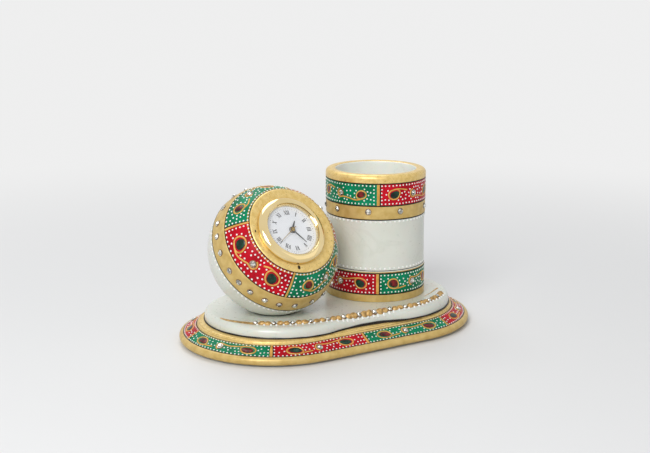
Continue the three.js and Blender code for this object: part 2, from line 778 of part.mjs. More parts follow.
function buildMotor() {
  const front = rotorLevel - restGap;
  const back = front - statorThickness;
  const hole = rotorRadius + statorGap;
  const armY = coilY - coilRadius - coilGap;
  const left = rotorSpot[0] - hole - statorRing;
  const right = coreHalfLength;
  const stator = cut(
    join(
      rod(hole + statorRing, back, front, rotorSpot, ringSides),
      box([left, right], [armY - statorArm, armY], [back, front]),
      box([left, left + statorArm], [armY - sink, coilY + coreHalfWidth], [back, front]),
      box([right - statorArm, right], [armY - sink, coilY + coreHalfWidth], [back, front]),
    ),
    rod(hole, back - past, front + past, rotorSpot, ringSides),
  );
  addMesh('stator', stator, steel, clock);

  const coreFront = back - restGap;
  const coilMiddle = coreFront - coreThickness / 2;
  const winding = new THREE.CylinderGeometry(coilRadius, coilRadius, 2 * coilHalfLength, barSides);
  const wound = solid(winding.rotateZ(Math.PI / 2).translate(0, coilY, coilMiddle));
  const coreY = [coilY - coreHalfWidth, coilY + coreHalfWidth];
  const core = box([left, right], coreY, [coreFront - coreThickness, coreFront]);
  addMesh('coil', join(wound, core), copper, clock);
}

function buildPower() {
  addMesh('battery', rod(batteryRadius, batteryBack, batteryFront, batterySpot, ringSides), steel, clock);

  const minusBack = batteryFront + contactGap;
  const minus = box(
    [batterySpot[0] - contactReach, batterySpot[0] + contactWidth / 2],
    [batterySpot[1] - contactWidth / 2, batterySpot[1] + contactWidth / 2],
    [minusBack, minusBack + contactThickness],
  );
  addMesh('minus_contact', minus, brass, clock);

  const springInner = batteryRadius + runGap;
  const sleeve = ring(springInner, springInner + contactThickness, batteryBack + 1, batteryFront - 1);
  const placed = sleeve.translate([batterySpot[0], batterySpot[1], 0]);
  const outerHalf = box(
    [batterySpot[0] + contactWidth / 2, caseRadius],
    [-caseRadius, batterySpot[1] + contactWidth],
    [batteryBack, batteryFront],
  );
  addMesh('plus_contact', placed.intersect(outerHalf), brass, clock);

  const boardFront = bridgeLevel - boardDrop;
  const boardBack = boardFront - boardThickness;
  const throughBoard = [boardBack - past, boardFront + past];
  const blank = rod(bridgeRadius - coilGap, boardBack, boardFront, centre, ringSides);
  const circuit = cut(
    blank.intersect(box(...boardArea, throughBoard)),
    rod(batteryRadius + batteryHoleMargin, ...throughBoard, batterySpot, ringSides),
    rod(knobShaftRadius + runGap, ...throughBoard, knobSpot),
  );
  addMesh('circuit_board', circuit, board, clock);
}

// A cut stone with a flat back, standing on the group's XY plane
function stoneBody() {
  const table = new THREE.CylinderGeometry(stoneRadius * 0.55, stoneRadius, stoneHeight * 0.75, stoneSides);
  const girdle = new THREE.CylinderGeometry(stoneRadius, stoneRadius, stoneHeight * 0.25, stoneSides);
  return join(
    solid(table.rotateX(Math.PI / 2).translate(0, 0, stoneHeight * 0.625)),
    solid(girdle.rotateX(Math.PI / 2).translate(0, 0, stoneHeight * 0.125)),
  );
}

function addStone(name, place, normal) {
  const seat = new THREE.Group();
  seat.position.copy(place).addScaledVector(normal, stoneGap);
  seat.quaternion.setFromUnitVectors(new THREE.Vector3(0, 0, 1), normal);
  model.add(seat);
  addMesh(name, stoneBody(), crystal, seat);
}

// The place at a length along the plate's outline from its left end towards the front, and the way out
function alongPlate(inset, length) {
  const left = plateLeftRadius - inset;
  const right = plateRightRadius - inset;
  const span = plateRightX - plateLeftX;
  const lean = Math.asin((right - left) / span);
  const leftArc = left * (Math.PI / 2 - lean);
  const straight = span * Math.cos(lean);
  const halfway = leftArc + straight + right * (Math.PI / 2 + lean);
  const travelled = THREE.MathUtils.euclideanModulo(length, 2 * halfway);
  const mirrored = travelled > halfway;
  const along = mirrored ? 2 * halfway - travelled : travelled;
  const outward = (angle) => new THREE.Vector3(-Math.cos(angle), -Math.sin(angle), 0);
  const tangentAngle = Math.PI / 2 - lean;
  let out = outward(tangentAngle);
  let place = new THREE.Vector3(plateLeftX, 0, 0).addScaledVector(out, left);
  if (along < leftArc) {
    out = outward(along / left);
    place = new THREE.Vector3(plateLeftX, 0, 0).addScaledVector(out, left);
  } else if (along < leftArc + straight) {
    const forward = new THREE.Vector3(Math.cos(lean), -Math.sin(lean), 0);
    place.addScaledVector(forward, along - leftArc);
  } else {
    out = outward(tangentAngle + (along - leftArc - straight) / right);
    place = new THREE.Vector3(plateRightX, 0, 0).addScaledVector(out, right);
  }
  if (mirrored) {
    place.y = -place.y;
    out.y = -out.y;
  }
  return { place, out, perimeter: 2 * halfway };
}

function buildStones() {
  const raised = cupRadius + reliefHeight;
  const cupRows = { lower: (footBandTop + lowerPanelTop) / 2, upper: (stoneBandTop + upperPanelTop) / 2 };
  Object.entries(cupRows).forEach(([row, height]) => {
    for (let panel = 0; panel < panelsRound; panel += 1) {
      const angle = radians(cupPanelMiddle + (panel * 360) / panelsRound);
      const normal = new THREE.Vector3(Math.sin(angle), -Math.cos(angle), 0);
      const place = new THREE.Vector3(cupX, rowY, slabTop + height).addScaledVector(normal, raised);
      addStone(`cup_${row}_stone_${panel + 1}`, place, normal);
    }
  });

  const stoneDepth = ballHalfDepth * Math.sqrt(1 - (ballStoneRadius / ballRadius) ** 2);
  const side = new THREE.Vector3(1, 0, 0);
  const top = new THREE.Vector3(0, Math.cos(tilt), Math.sin(tilt));
  for (let panel = 0; panel < panelsRound; panel += 1) {
    const angle = radians(ballPanelMiddle + (panel * 360) / panelsRound);
    const outward = side.clone().multiplyScalar(Math.sin(angle)).addScaledVector(top, Math.cos(angle));
    const place = ballCentre.clone().addScaledVector(clockAxis, stoneDepth);
    place.addScaledVector(outward, ballStoneRadius);
    const normal = outward.clone().multiplyScalar(ballStoneRadius / ballRadius ** 2);
    normal.addScaledVector(clockAxis, stoneDepth / ballHalfDepth ** 2).normalize();
    addStone(`ball_stone_${panel + 1}`, place, normal);
  }

  const middleInset = edgeRound + bevelRun / 2;
  const middleHeight = padHeight + edgeHeight + bevelRise / 2;
  const { perimeter } = alongPlate(middleInset, 0);
  for (let panel = 0; panel < platePanels; panel += 1) {
    const length = platePanelStart + ((panel + 0.5) * perimeter) / platePanels;
    const { place, out } = alongPlate(middleInset, length);
    place.z = middleHeight;
    const normal = out.multiplyScalar(bevelRise).add(new THREE.Vector3(0, 0, bevelRun)).normalize();
    addStone(`plate_stone_${panel + 1}`, place, normal);
  }
}

buildBasePlate();
buildPads();
buildTopSlab();
buildPenCup();
buildBall();
buildBezelAndLens();
buildCase();
buildGasket();
buildDial();
buildHands();
buildHandTrain();
buildGoingTrain();
buildPlates();
buildMotor();
buildPower();
buildStones();

export default model;
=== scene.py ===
import bpy, bmesh, math, random
from mathutils import Matrix, Vector


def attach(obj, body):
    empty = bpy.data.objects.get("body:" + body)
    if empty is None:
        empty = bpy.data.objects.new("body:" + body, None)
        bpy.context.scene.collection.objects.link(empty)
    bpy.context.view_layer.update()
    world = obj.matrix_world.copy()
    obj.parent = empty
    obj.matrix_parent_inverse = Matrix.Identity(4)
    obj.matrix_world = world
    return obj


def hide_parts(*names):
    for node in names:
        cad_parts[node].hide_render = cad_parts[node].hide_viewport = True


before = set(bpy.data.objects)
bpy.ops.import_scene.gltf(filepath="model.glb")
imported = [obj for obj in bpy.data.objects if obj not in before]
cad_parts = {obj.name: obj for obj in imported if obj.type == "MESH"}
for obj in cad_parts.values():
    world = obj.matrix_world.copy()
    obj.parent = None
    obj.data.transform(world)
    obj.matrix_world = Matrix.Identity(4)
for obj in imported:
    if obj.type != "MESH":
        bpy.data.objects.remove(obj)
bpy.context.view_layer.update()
print("stage: frame loaded")

mm = 0.001


# small helpers

def nothingSelected():
    if bpy.context.object and bpy.context.object.mode != 'OBJECT':
        bpy.ops.object.mode_set(mode='OBJECT')
    bpy.ops.object.select_all(action='DESELECT')


def onlySelected(piece):
    nothingSelected()
    piece.select_set(True)
    bpy.context.view_layer.objects.active = piece


def named(piece, name):
    piece.name = name
    piece.data.name = name
    return piece


def removed(piece):
    bpy.data.objects.remove(piece, do_unlink=True)


def sweptLoops(name, loops, capped=True):
    # a circle is added, laid on the first loop, and its edge is extruded from loop to loop
    nothingSelected()
    bpy.ops.mesh.primitive_circle_add(vertices=len(loops[0]), radius=0.01)
    piece = named(bpy.context.object, name)
    bpy.ops.object.mode_set(mode='EDIT')
    bm = bmesh.from_edit_mesh(piece.data)
    station = bm.verts.layers.int.new('station')
    for index, vert in enumerate(bm.verts):
        vert[station] = index
        vert.co = loops[0][index]
    bmesh.update_edit_mesh(piece.data)
    bpy.ops.mesh.select_all(action='SELECT')
    if capped:
        bpy.ops.mesh.edge_face_add()
        bm = bmesh.from_edit_mesh(piece.data)
        for face in bm.faces:
            face.select = False
        for edge in bm.edges:
            edge.select = True
    for loop in loops[1:]:
        bpy.ops.mesh.extrude_edges_move()
        bm = bmesh.from_edit_mesh(piece.data)
        station = bm.verts.layers.int['station']
        for vert in bm.verts:
            if vert.select:
                vert.co = loop[vert[station]]
    if capped:
        bpy.ops.mesh.edge_face_add()
    bpy.ops.mesh.select_all(action='SELECT')
    bpy.ops.mesh.remove_doubles(threshold=1e-6)
    bpy.ops.mesh.normals_make_consistent(inside=False)
    bpy.ops.object.mode_set(mode='OBJECT')
    return piece


def turnedPiece(name, profile, place, segments, startAngle=0.0, closed=False):
    # profile holds [radius, height] pairs in mm; place(radius, angle, height) gives the point
    rings = profile + [profile[0]] if closed else profile
    step = 2 * math.pi / segments
    loops = [[place(radius, startAngle + turn * step, height) for turn in range(segments)]
             for radius, height in rings]
    return sweptLoops(name, loops, capped=False)


def arcPoints(centre, radius, start, end, steps):
    # points on an arc of a profile, angles in degrees
    points = []
    for step in range(steps + 1):
        turn = math.radians(start + (end - start) * step / steps)
        points.append([centre[0] + radius * math.cos(turn), centre[1] + radius * math.sin(turn)])
    return points


def laidCopy(source, place):
    # a copy with its own mesh, whose points are laid on a surface by place(u, v, w)
    copy = source.copy()
    copy.data = source.data.copy()
    for vert in copy.data.vertices:
        vert.co = place(*vert.co)
    bpy.context.collection.objects.link(copy)
    return copy


def shifted(place, u, v):
    return lambda a, b, w: place(u + a, v + b, w)


def finished(piece, finish, angle=32, body='stand'):
    if finish:
        piece.data.materials.clear()
        piece.data.materials.append(finishes[finish])
    if angle:
        onlySelected(piece)
        bpy.ops.object.shade_smooth_by_angle(angle=math.radians(angle))
    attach(piece, body)
    return piece


def joined(name, pieces, finish, angle=60, body='stand'):
    nothingSelected()
    for piece in pieces:
        piece.select_set(True)
    bpy.context.view_layer.objects.active = pieces[0]
    if len(pieces) > 1:
        bpy.ops.object.join()
    return finished(named(bpy.context.object, name), finish, angle, body)


def strokes(name, paths, width, height, place, swell=None):
    # painted lines: curves with a round section, flattened and made a mesh
    curve = bpy.data.curves.new(name, 'CURVE')
    curve.dimensions = '3D'
    curve.bevel_depth = width / 2
    curve.bevel_resolution = 1
    curve.use_fill_caps = True
    for points, cyclic in paths:
        spline = curve.splines.new('POLY')
        spline.points.add(len(points) - 1)
        for index, (u, v) in enumerate(points):
            spline.points[index].co = (u, v, 0, 1)
            spline.points[index].radius = swell[index] if swell else 1.0
        spline.use_cyclic_u = cyclic
    line = bpy.data.objects.new(name, curve)
    bpy.context.collection.objects.link(line)
    onlySelected(line)
    bpy.ops.object.convert(target='MESH')
    line = bpy.context.object
    for vert in line.data.vertices:
        vert.co = place(vert.co.x, vert.co.y, vert.co.z * height / (width / 2))
    return line


def openStroke(points, width, height, place, swell=None):
    return strokes('line', [(points, False)], width, height, place, swell)


def cutBelow(height):
    # in edit mode: the part below the height goes, and the cut is closed
    bpy.ops.mesh.select_all(action='SELECT')
    bpy.ops.mesh.bisect(plane_co=(0, 0, height), plane_no=(0, 0, 1), use_fill=True, clear_inner=True)


def domeDot(radius, height, segments=8):
    # a low dome of paint: half of a small ball, its foot sunk a little
    nothingSelected()
    bpy.ops.mesh.primitive_uv_sphere_add(segments=segments, ring_count=6, radius=1)
    dot = named(bpy.context.object, 'dot')
    bpy.ops.object.mode_set(mode='EDIT')
    cutBelow(-0.01)
    bpy.ops.mesh.select_all(action='SELECT')
    bpy.ops.transform.resize(value=(radius, radius, height), center_override=(0, 0, 0))
    bpy.ops.object.mode_set(mode='OBJECT')
    return dot


def dotsOn(name, spots, radius, height):
    # spots are functions that lay a point of the dot on its surface
    dot = domeDot(radius, height)
    joined(name, [laidCopy(dot, place) for place in spots], 'pearlDot')
    removed(dot)


def smoothPath(points, steps=6):
    # a smooth line through the points
    path = []
    padded = [points[0]] + points + [points[-1]]
    for index in range(1, len(padded) - 2):
        a, b, c, d = [Vector(point) for point in padded[index - 1:index + 3]]
        for step in range(steps):
            t = step / steps
            square = (2 * a - 5 * b + 4 * c - d) * t ** 2
            cube = (3 * b - a - 3 * c + d) * t ** 3
            path.append(tuple(0.5 * (2 * b + (c - a) * t + square + cube)))
    path.append(points[-1])
    return path


# shader groups and finishes

def setSockets(tree, node, sockets):
    # a socket takes another node's output, or a plain value
    for key, value in sockets.items():
        if isinstance(value, bpy.types.NodeSocket):
            tree.links.new(value, node.inputs[key])
        else:
            node.inputs[key].default_value = value


def addNode(tree, kind, sockets, output=0, **settings):
    node = tree.nodes.new('ShaderNode' + kind)
    for key, value in settings.items():
        setattr(node, key, value)
    setSockets(tree, node, sockets)
    return node.outputs[output]


def mixed(tree, factor, low, high):
    return addNode(tree, 'Mix', {'Factor': factor, 6: low, 7: high}, 2, data_type='RGBA')


def groupOf(name, inputs):
    # every finish group puts out a colour, a roughness and a fine height
    group = bpy.data.node_groups.new(name, 'ShaderNodeTree')
    for label, value in inputs.items():
        kind = 'NodeSocketColor' if isinstance(value, tuple) else 'NodeSocketFloat'
        group.interface.new_socket(name=label, in_out='INPUT', socket_type=kind).default_value = value
    for label, kind in (('Colour', 'Color'), ('Roughness', 'Float'), ('Height', 'Float')):
        group.interface.new_socket(name=label, in_out='OUTPUT', socket_type='NodeSocket' + kind)
    return group, group.nodes.new('NodeGroupInput').outputs, group.nodes.new('NodeGroupOutput')


def noise(tree, spot, scale, detail, distortion=0.0):
    return addNode(tree, 'TexNoise', {'Vector': spot, 'Scale': scale, 'Detail': detail,
                                      'Distortion': distortion})


def buildMottle():
    # hand finish: two noises give a colour drift, a rougher patch and a fine height
    group, start, end = groupOf('handFinish', {
        'Light': (0.8, 0.8, 0.8, 1), 'Dark': (0.5, 0.5, 0.5, 1), 'Patch Scale': 120.0, 'Grain Scale': 900.0,
        'Rough Low': 0.25, 'Rough High': 0.45,
    })
    spot = addNode(group, 'TexCoord', {}, 'Object')
    patch = noise(group, spot, start['Patch Scale'], 4.0)
    grain = noise(group, spot, start['Grain Scale'], 3.0)
    spread = addNode(group, 'MapRange', {'Value': patch, 'From Min': 0.35, 'From Max': 0.65})
    rough = addNode(group, 'MapRange', {'Value': grain, 'From Min': 0.3, 'From Max': 0.7,
                                        'To Min': start['Rough Low'], 'To Max': start['Rough High']})
    setSockets(group, end, {
        'Colour': mixed(group, spread, start['Dark'], start['Light']), 'Roughness': rough,
        'Height': addNode(group, 'Math', {0: patch, 1: grain}, operation='ADD'),
    })
    return group


def buildVeins():
    # faint veins and clouds of a white marble
    group, start, end = groupOf('marbleVeins', {
        'White': (0.8, 0.81, 0.76, 1), 'Cloud': (0.7, 0.72, 0.66, 1), 'Vein': (0.62, 0.64, 0.58, 1),
    })
    spot = addNode(group, 'TexCoord', {}, 'Object')
    cloud = noise(group, spot, 38.0, 6.0)
    swirl = noise(group, spot, 22.0, 8.0, 1.6)
    grain = noise(group, spot, 700.0, 2.0)
    cloudy = addNode(group, 'MapRange', {'Value': cloud, 'From Min': 0.4, 'From Max': 0.7})
    # a vein runs where the swirl passes its middle
    offset = addNode(group, 'Math', {0: swirl, 1: 0.5}, operation='SUBTRACT')
    near = addNode(group, 'Math', {0: offset}, operation='ABSOLUTE')
    vein = addNode(group, 'MapRange', {'Value': near, 'From Max': 0.022, 'To Min': 0.28, 'To Max': 0.0})
    base = mixed(group, cloudy, start['White'], start['Cloud'])
    setSockets(group, end, {
        'Colour': mixed(group, vein, base, start['Vein']), 'Height': grain,
        'Roughness': addNode(group, 'MapRange', {'Value': grain, 'To Min': 0.2, 'To Max': 0.42}),
    })
    return group


def newMaterial(name, sockets):
    material = bpy.data.materials.new(name)
    material.use_nodes = True
    shader = material.node_tree.nodes['Principled BSDF']
    setSockets(material.node_tree, shader, sockets)
    return material, material.node_tree, shader


def groupMaterial(name, group, values, plain, bump=0.0, strength=0.0):
    # the group gives what changes over the surface, the plain values go on the shader itself
    material, tree, shader = newMaterial(name, plain)
    effect = addNode(tree, 'Group', {}, node_tree=group).node
    for key, value in values.items():
        effect.inputs[key].default_value = (*value, 1) if isinstance(value, tuple) else value
    outputs = effect.outputs
    setSockets(tree, shader, {'Base Color': outputs['Colour'], 'Roughness': outputs['Roughness']})
    if bump:
        raised = addNode(tree, 'Bump', {'Height': outputs['Height'], 'Strength': strength,
                                        'Distance': bump * mm})
        setSockets(tree, shader, {'Normal': raised})
    return material


mottle = buildMottle()
veins = buildVeins()

# three colours: white, cloud and vein
marbles = {
    'whiteMarble': ((0.71, 0.72, 0.65), (0.65, 0.67, 0.59), (0.56, 0.58, 0.50)),
    # the cup's inside is the same marble painted lighter: painted light, for the light that falls into the
    # cup
    'innerMarble': ((0.88, 0.89, 0.83), (0.82, 0.84, 0.77), (0.72, 0.74, 0.66)),
}
# light and dark colour, low and high roughness, scale of patches and of grain, height of the grain in mm,
# metal and gloss
handMade = {
    'goldPaint': ((0.66, 0.48, 0.18), (0.55, 0.37, 0.11), 0.32, 0.5, 260, 1400, 0.02, 0.25, 0.3),
    'goldLeaf': ((0.81, 0.60, 0.24), (0.69, 0.48, 0.15), 0.25, 0.45, 420, 1400, 0.03, 0.45, 0.4),
    'trailGold': ((0.72, 0.45, 0.16), (0.30, 0.17, 0.05), 0.28, 0.45, 620, 2000, 0.03, 0.2, 0.4),
    'goldLine': ((0.76, 0.42, 0.10), (0.56, 0.28, 0.05), 0.3, 0.45, 300, 2000, 0.02, 0.1, 0.3),
    # a brown for the dark paste under the stones and for the painted shade beside the trail's dabs
    'brownPasteAndPaintedShade': ((0.24, 0.12, 0.04), (0.12, 0.06, 0.02), 0.35, 0.5, 400, 1500, 0.02, 0.0, 0.5),
    'streakPaint': ((0.40, 0.23, 0.07), (0.22, 0.11, 0.03), 0.35, 0.5, 500, 1500, 0.02, 0.0, 0.5),
    'redEnamel': ((0.56, 0.004, 0.018), (0.36, 0.002, 0.010), 0.25, 0.4, 130, 900, 0.02, 0.0, 0.13),
    'greenEnamel': ((0.0, 0.245, 0.112), (0.0, 0.155, 0.066), 0.25, 0.4, 130, 900, 0.02, 0.0, 0.13),
    'pearlDot': ((0.93, 0.93, 0.90), (0.86, 0.86, 0.82), 0.3, 0.45, 600, 2000, 0.02, 0.0, 0.5),
    # near black for the painted lines, and for painted shade: the ring round the ball's foot, the heavy
    # waist of the slab's foot line and the notch on the lip
    'darkInkAndPaintedShade': ((0.026, 0.017, 0.011), (0.007, 0.005, 0.004), 0.35, 0.5, 400, 1500, 0.02, 0.0, 0.2),
    'greenEye': ((0.0, 0.055, 0.024), (0.001, 0.003, 0.002), 0.15, 0.25, 420, 1500, 0.02, 0.0, 0.35),
    'redEye': ((0.24, 0.006, 0.005), (0.022, 0.002, 0.002), 0.15, 0.25, 420, 1500, 0.02, 0.0, 0.35),
    # painted reflection: the cut stones mix near white with near black, for the dark and bright that their
    # facets mirror
    'cutStone': ((0.97, 0.96, 0.90), (0.07, 0.075, 0.065), 0.02, 0.08, 900, 2500, 0.005, 0.85, 0.5),
    'polishedBrass': ((0.87, 0.70, 0.38), (0.80, 0.62, 0.30), 0.03, 0.08, 60, 1500, 0.002, 1.0, 0.5),
    'dialInk': ((0.03, 0.03, 0.035), (0.015, 0.015, 0.02), 0.4, 0.6, 900, 3000, 0.02, 0.0, 0.5),
    'handBrass': ((0.50, 0.34, 0.10), (0.32, 0.2, 0.05), 0.25, 0.4, 300, 2500, 0.02, 1.0, 0.5),
    'handBlack': ((0.03, 0.027, 0.024), (0.012, 0.011, 0.01), 0.3, 0.45, 300, 2500, 0.02, 0.0, 0.5),
    'blackPlastic': ((0.035, 0.037, 0.04), (0.02, 0.021, 0.023), 0.4, 0.55, 200, 1800, 0.02, 0.0, 0.5),
    'creamPlastic': ((0.78, 0.76, 0.70), (0.68, 0.66, 0.60), 0.3, 0.45, 200, 1800, 0.02, 0.0, 0.5),
    'clearRubber': ((0.80, 0.80, 0.75), (0.70, 0.70, 0.64), 0.4, 0.6, 200, 1500, 0.02, 0.0, 0.5),
    'gearBrass': ((0.78, 0.58, 0.24), (0.62, 0.44, 0.16), 0.2, 0.35, 300, 2500, 0.02, 1.0, 0.5),
    'steel': ((0.60, 0.61, 0.62), (0.48, 0.49, 0.50), 0.22, 0.38, 300, 2500, 0.02, 1.0, 0.5),
    'magnet': ((0.06, 0.06, 0.065), (0.03, 0.03, 0.033), 0.45, 0.6, 400, 2000, 0.02, 0.0, 0.5),
    'copperWire': ((0.62, 0.22, 0.10), (0.42, 0.13, 0.05), 0.25, 0.4, 500, 2500, 0.02, 0.9, 0.5),
    'board': ((0.03, 0.16, 0.07), (0.02, 0.10, 0.045), 0.3, 0.45, 250, 1500, 0.02, 0.0, 0.5),
    'felt': ((0.05, 0.10, 0.06), (0.03, 0.06, 0.04), 0.85, 0.98, 500, 2500, 0.1, 0.0, 0.2),
}
special = {'clearRubber': {'Transmission Weight': 0.35}, 'felt': {'Sheen Weight': 0.4}}

finishes = {}
for name, colours in marbles.items():
    finishes[name] = groupMaterial(
        name, veins, dict(zip(('White', 'Cloud', 'Vein'), colours)),
        {'Coat Weight': 0.25, 'Coat Roughness': 0.15, 'Subsurface Weight': 0.12, 'Subsurface Scale': 0.002},
        bump=0.01, strength=0.4)
mottleInputs = ('Light', 'Dark', 'Rough Low', 'Rough High', 'Patch Scale', 'Grain Scale')
for name, (*values, bump, metal, gloss) in handMade.items():
    plain = {'Metallic': metal, 'Specular IOR Level': gloss, **special.get(name, {})}
    finishes[name] = groupMaterial(name, mottle, dict(zip(mottleInputs, values)), plain, bump, strength=0.6)


def lensMaterial():
    # clear glass that lets the light and the shade of the dial through
    values = {'Light': (0.99, 0.995, 1.0), 'Dark': (0.97, 0.98, 0.99), 'Rough Low': 0.0, 'Rough High': 0.02}
    material = groupMaterial('lensGlass', mottle, values, {'Transmission Weight': 1.0, 'IOR': 1.45})
    tree = material.node_tree
    path = addNode(tree, 'LightPath', {}).node.outputs
    rays = {0: path['Is Shadow Ray'], 1: path['Is Diffuse Ray']}
    passing = addNode(tree, 'Math', rays, operation='MAXIMUM')
    glass = tree.nodes['Principled BSDF'].outputs[0]
    blend = addNode(tree, 'MixShader', {0: passing, 1: glass, 2: addNode(tree, 'BsdfTransparent', {})})
    setSockets(tree, tree.nodes['Material Output'], {'Surface': blend})
    return material


def dialMaterial(centre, axis):
    # white print with a faint engine-turned centre
    material, tree, shader = newMaterial('dialPaper', {})
    spot = addNode(tree, 'TexCoord', {}, 'Object')
    turn = axis.rotation_difference(Vector((0, 0, 1))).to_euler()
    laid = {'Vector': spot, 'Location': -(turn.to_matrix() @ centre), 'Rotation': turn}
    flat = addNode(tree, 'Mapping', laid)
    rings = addNode(tree, 'TexWave', {'Vector': flat, 'Scale': 420.0, 'Distortion': 0.0}, 'Fac',
                    wave_type='RINGS', rings_direction='Z')
    tone = addNode(tree, 'MapRange', {'Value': rings, 'To Max': 0.35})
    setSockets(tree, shader, {
        'Base Color': mixed(tree, tone, (0.82, 0.83, 0.85, 1), (0.72, 0.73, 0.76, 1)),
        'Roughness': addNode(tree, 'MapRange', {'Value': noise(tree, spot, 1200.0, 3.0), 'To Min': 0.4,
                                                'To Max': 0.6}),
    })
    return material


# the paints of a turned or cut piece, in the order of its material slots
paints = ['whiteMarble', 'goldPaint', 'redEnamel', 'greenEnamel', 'goldLeaf']


def enamel(green):
    return 'greenEnamel' if green else 'redEnamel'


def painted(piece, chooser, more=()):
    # the chooser names the paint of a face
    order = paints + list(more)
    for finish in order:
        piece.data.materials.append(finishes[finish])
    for face in piece.data.polygons:
        face.material_index = order.index(chooser(face))


print("stage: finishes ready")


# camera

view = {'place': (-0.36354, -0.50530, 0.19142), 'down': 12.34, 'turn': -35.63, 'lens': 66.72}

nothingSelected()
bpy.ops.object.camera_add(location=view['place'],
                          rotation=(math.radians(90 - view['down']), 0, math.radians(view['turn'])))
camera = named(bpy.context.object, 'camera')
camera.data.lens = view['lens']
camera.data.sensor_width = 36
camera.data.clip_start = 0.01
camera.data.clip_end = 50
bpy.context.scene.camera = camera


# base plate

plate = {
    'leftX': -33.3, 'leftRadius': 49.8, 'rightX': 29.8, 'rightRadius': 53.3, 'bottom': 1.0, 'edgeTop': 5.2,
    'edgeRound': 2.05, 'groove': 0.22, 'grooveWide': 0.45, 'bevelLift': 0.12, 'bevelTop': 9.0,
    'bevelIn': 9.05, 'ledgeStart': 0.3, 'ledgeLift': 0.15, 'ledgeIn': 11.45, 'top': 11.1, 'hidden': 30,
    'panels': 8, 'panelStart': -11.3, 'paintShift': 1.2, 'stationsPerPanel': 44,
}
bevelMiddle = (plate['edgeRound'] + plate['bevelIn']) / 2


def plateStation(length):
    # the place and the way out at a length along the middle of the bevel, from the left end to the front
    left = plate['leftRadius'] - bevelMiddle
    right = plate['rightRadius'] - bevelMiddle
    span = plate['rightX'] - plate['leftX']
    lean = math.asin((right - left) / span)
    leftArc = left * (math.pi / 2 - lean)
    straight = span * math.cos(lean)
    halfway = leftArc + straight + right * (math.pi / 2 + lean)
    travelled = length % (2 * halfway)
    along = min(travelled, 2 * halfway - travelled)
    angle = math.pi / 2 - lean
    centre, radius, forward = plate['leftX'], left, 0.0
    if along < leftArc:
        angle = along / left
    elif along < leftArc + straight:
        forward = along - leftArc
    else:
        angle += (along - leftArc - straight) / right
        centre, radius = plate['rightX'], right
    out = Vector((-math.cos(angle), -math.sin(angle), 0))
    place = Vector((centre, 0, 0)) + out * radius + Vector((math.cos(lean), -math.sin(lean), 0)) * forward
    if travelled > halfway:
        place.y, out.y = -place.y, -out.y
    return place, out, 2 * halfway


platePerimeter = plateStation(0)[2]
platePitch = platePerimeter / plate['panels']


def onPlate(length, inset, height):
    place, out, _ = plateStation(length)
    spot = place + out * (bevelMiddle - inset)
    return Vector((spot.x, spot.y, height)) * mm


def ledgeSpot(turn):
    # inset and height on the round of the ledge, from the bevel up to the flat top
    run = plate['ledgeIn'] - plate['bevelIn'] - plate['ledgeStart']
    rise = plate['top'] - plate['bevelTop'] - plate['ledgeLift']
    return [plate['bevelIn'] + plate['ledgeStart'] + run * (1 - math.cos(turn)),
            plate['bevelTop'] + plate['ledgeLift'] + rise * math.sin(turn)]


def buildPlate():
    count = plate['panels'] * plate['stationsPerPanel']
    start = plate['panelStart'] + plate['paintShift']
    lengths = [start + index * platePerimeter / count for index in range(count)]
    edge, low, high = plate['edgeRound'], plate['bottom'], plate['edgeTop']
    middle, half = (low + high) / 2, (high - low) / 2
    profile = [[edge + plate['hidden'], low], [edge + 1.0, low]]
    for degrees in range(-90, 91, 15):
        turn = math.radians(degrees)
        profile.append([edge * (1 - math.cos(turn)), middle + half * math.sin(turn)])
    # a groove, then the bevel, a second groove and the ledge
    inward = plate['bevelIn'] - edge - 2 * plate['grooveWide']
    upward = plate['bevelTop'] - high - 0.25
    profile.append([edge + 0.25, high - plate['groove']])
    for step in range(8):
        profile.append([edge + plate['grooveWide'] + inward * step / 8,
                        high + plate['bevelLift'] + upward * step / 8])
    profile += [[plate['bevelIn'] - 0.35, plate['bevelTop'] - 0.08],
                [plate['bevelIn'], plate['bevelTop'] - 0.25]]
    profile += [ledgeSpot(math.radians(degrees)) for degrees in range(0, 91, 15)]
    profile += [[plate['ledgeIn'] + 8, plate['top']], [plate['ledgeIn'] + plate['hidden'], plate['top']]]
    loops = [[onPlate(length, inset, height) for length in lengths] for inset, height in profile]
    piece = sweptLoops('basePlateBody', loops)

    def chooser(face):
        height = face.center.z / mm
        if abs(face.normal.z) > 0.999 and height < 3:
            return 'whiteMarble'
        if height > plate['bevelTop'] - 0.12:
            return 'goldLeaf'
        return 'goldPaint' if height < high + 0.06 else enamel(False)
    painted(piece, chooser)
    # the panels alternate along the bevel, told by the station of each face
    stations = piece.data.attributes['station'].data
    for face in piece.data.polygons:
        if paints[face.material_index] == enamel(False):
            marks = [stations[index].value for index in face.vertices]
            if max(marks) - min(marks) > count / 2:
                marks = [mark for mark in marks if mark > count / 2]
            panel = min(marks) // plate['stationsPerPanel']
            face.material_index = paints.index(enamel(panel % 2 == 0))
    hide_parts('base_plate')
    finished(piece, None, 28)


buildPlate()
print("stage: base plate")


# top slab

slab = {
    'leftX': -29.6, 'leftRadius': 39.8, 'rightX': 27.2, 'rightRadius': 44.3, 'waist': 80.0,
    # round the middle of the waist the foot line swells into painted shade
    'bottom': plate['top'], 'top': 16.6, 'round': 3.4, 'line': 0.9, 'waistShadeMiddle': 4.0, 'waistShadeReach': 14.0,
}


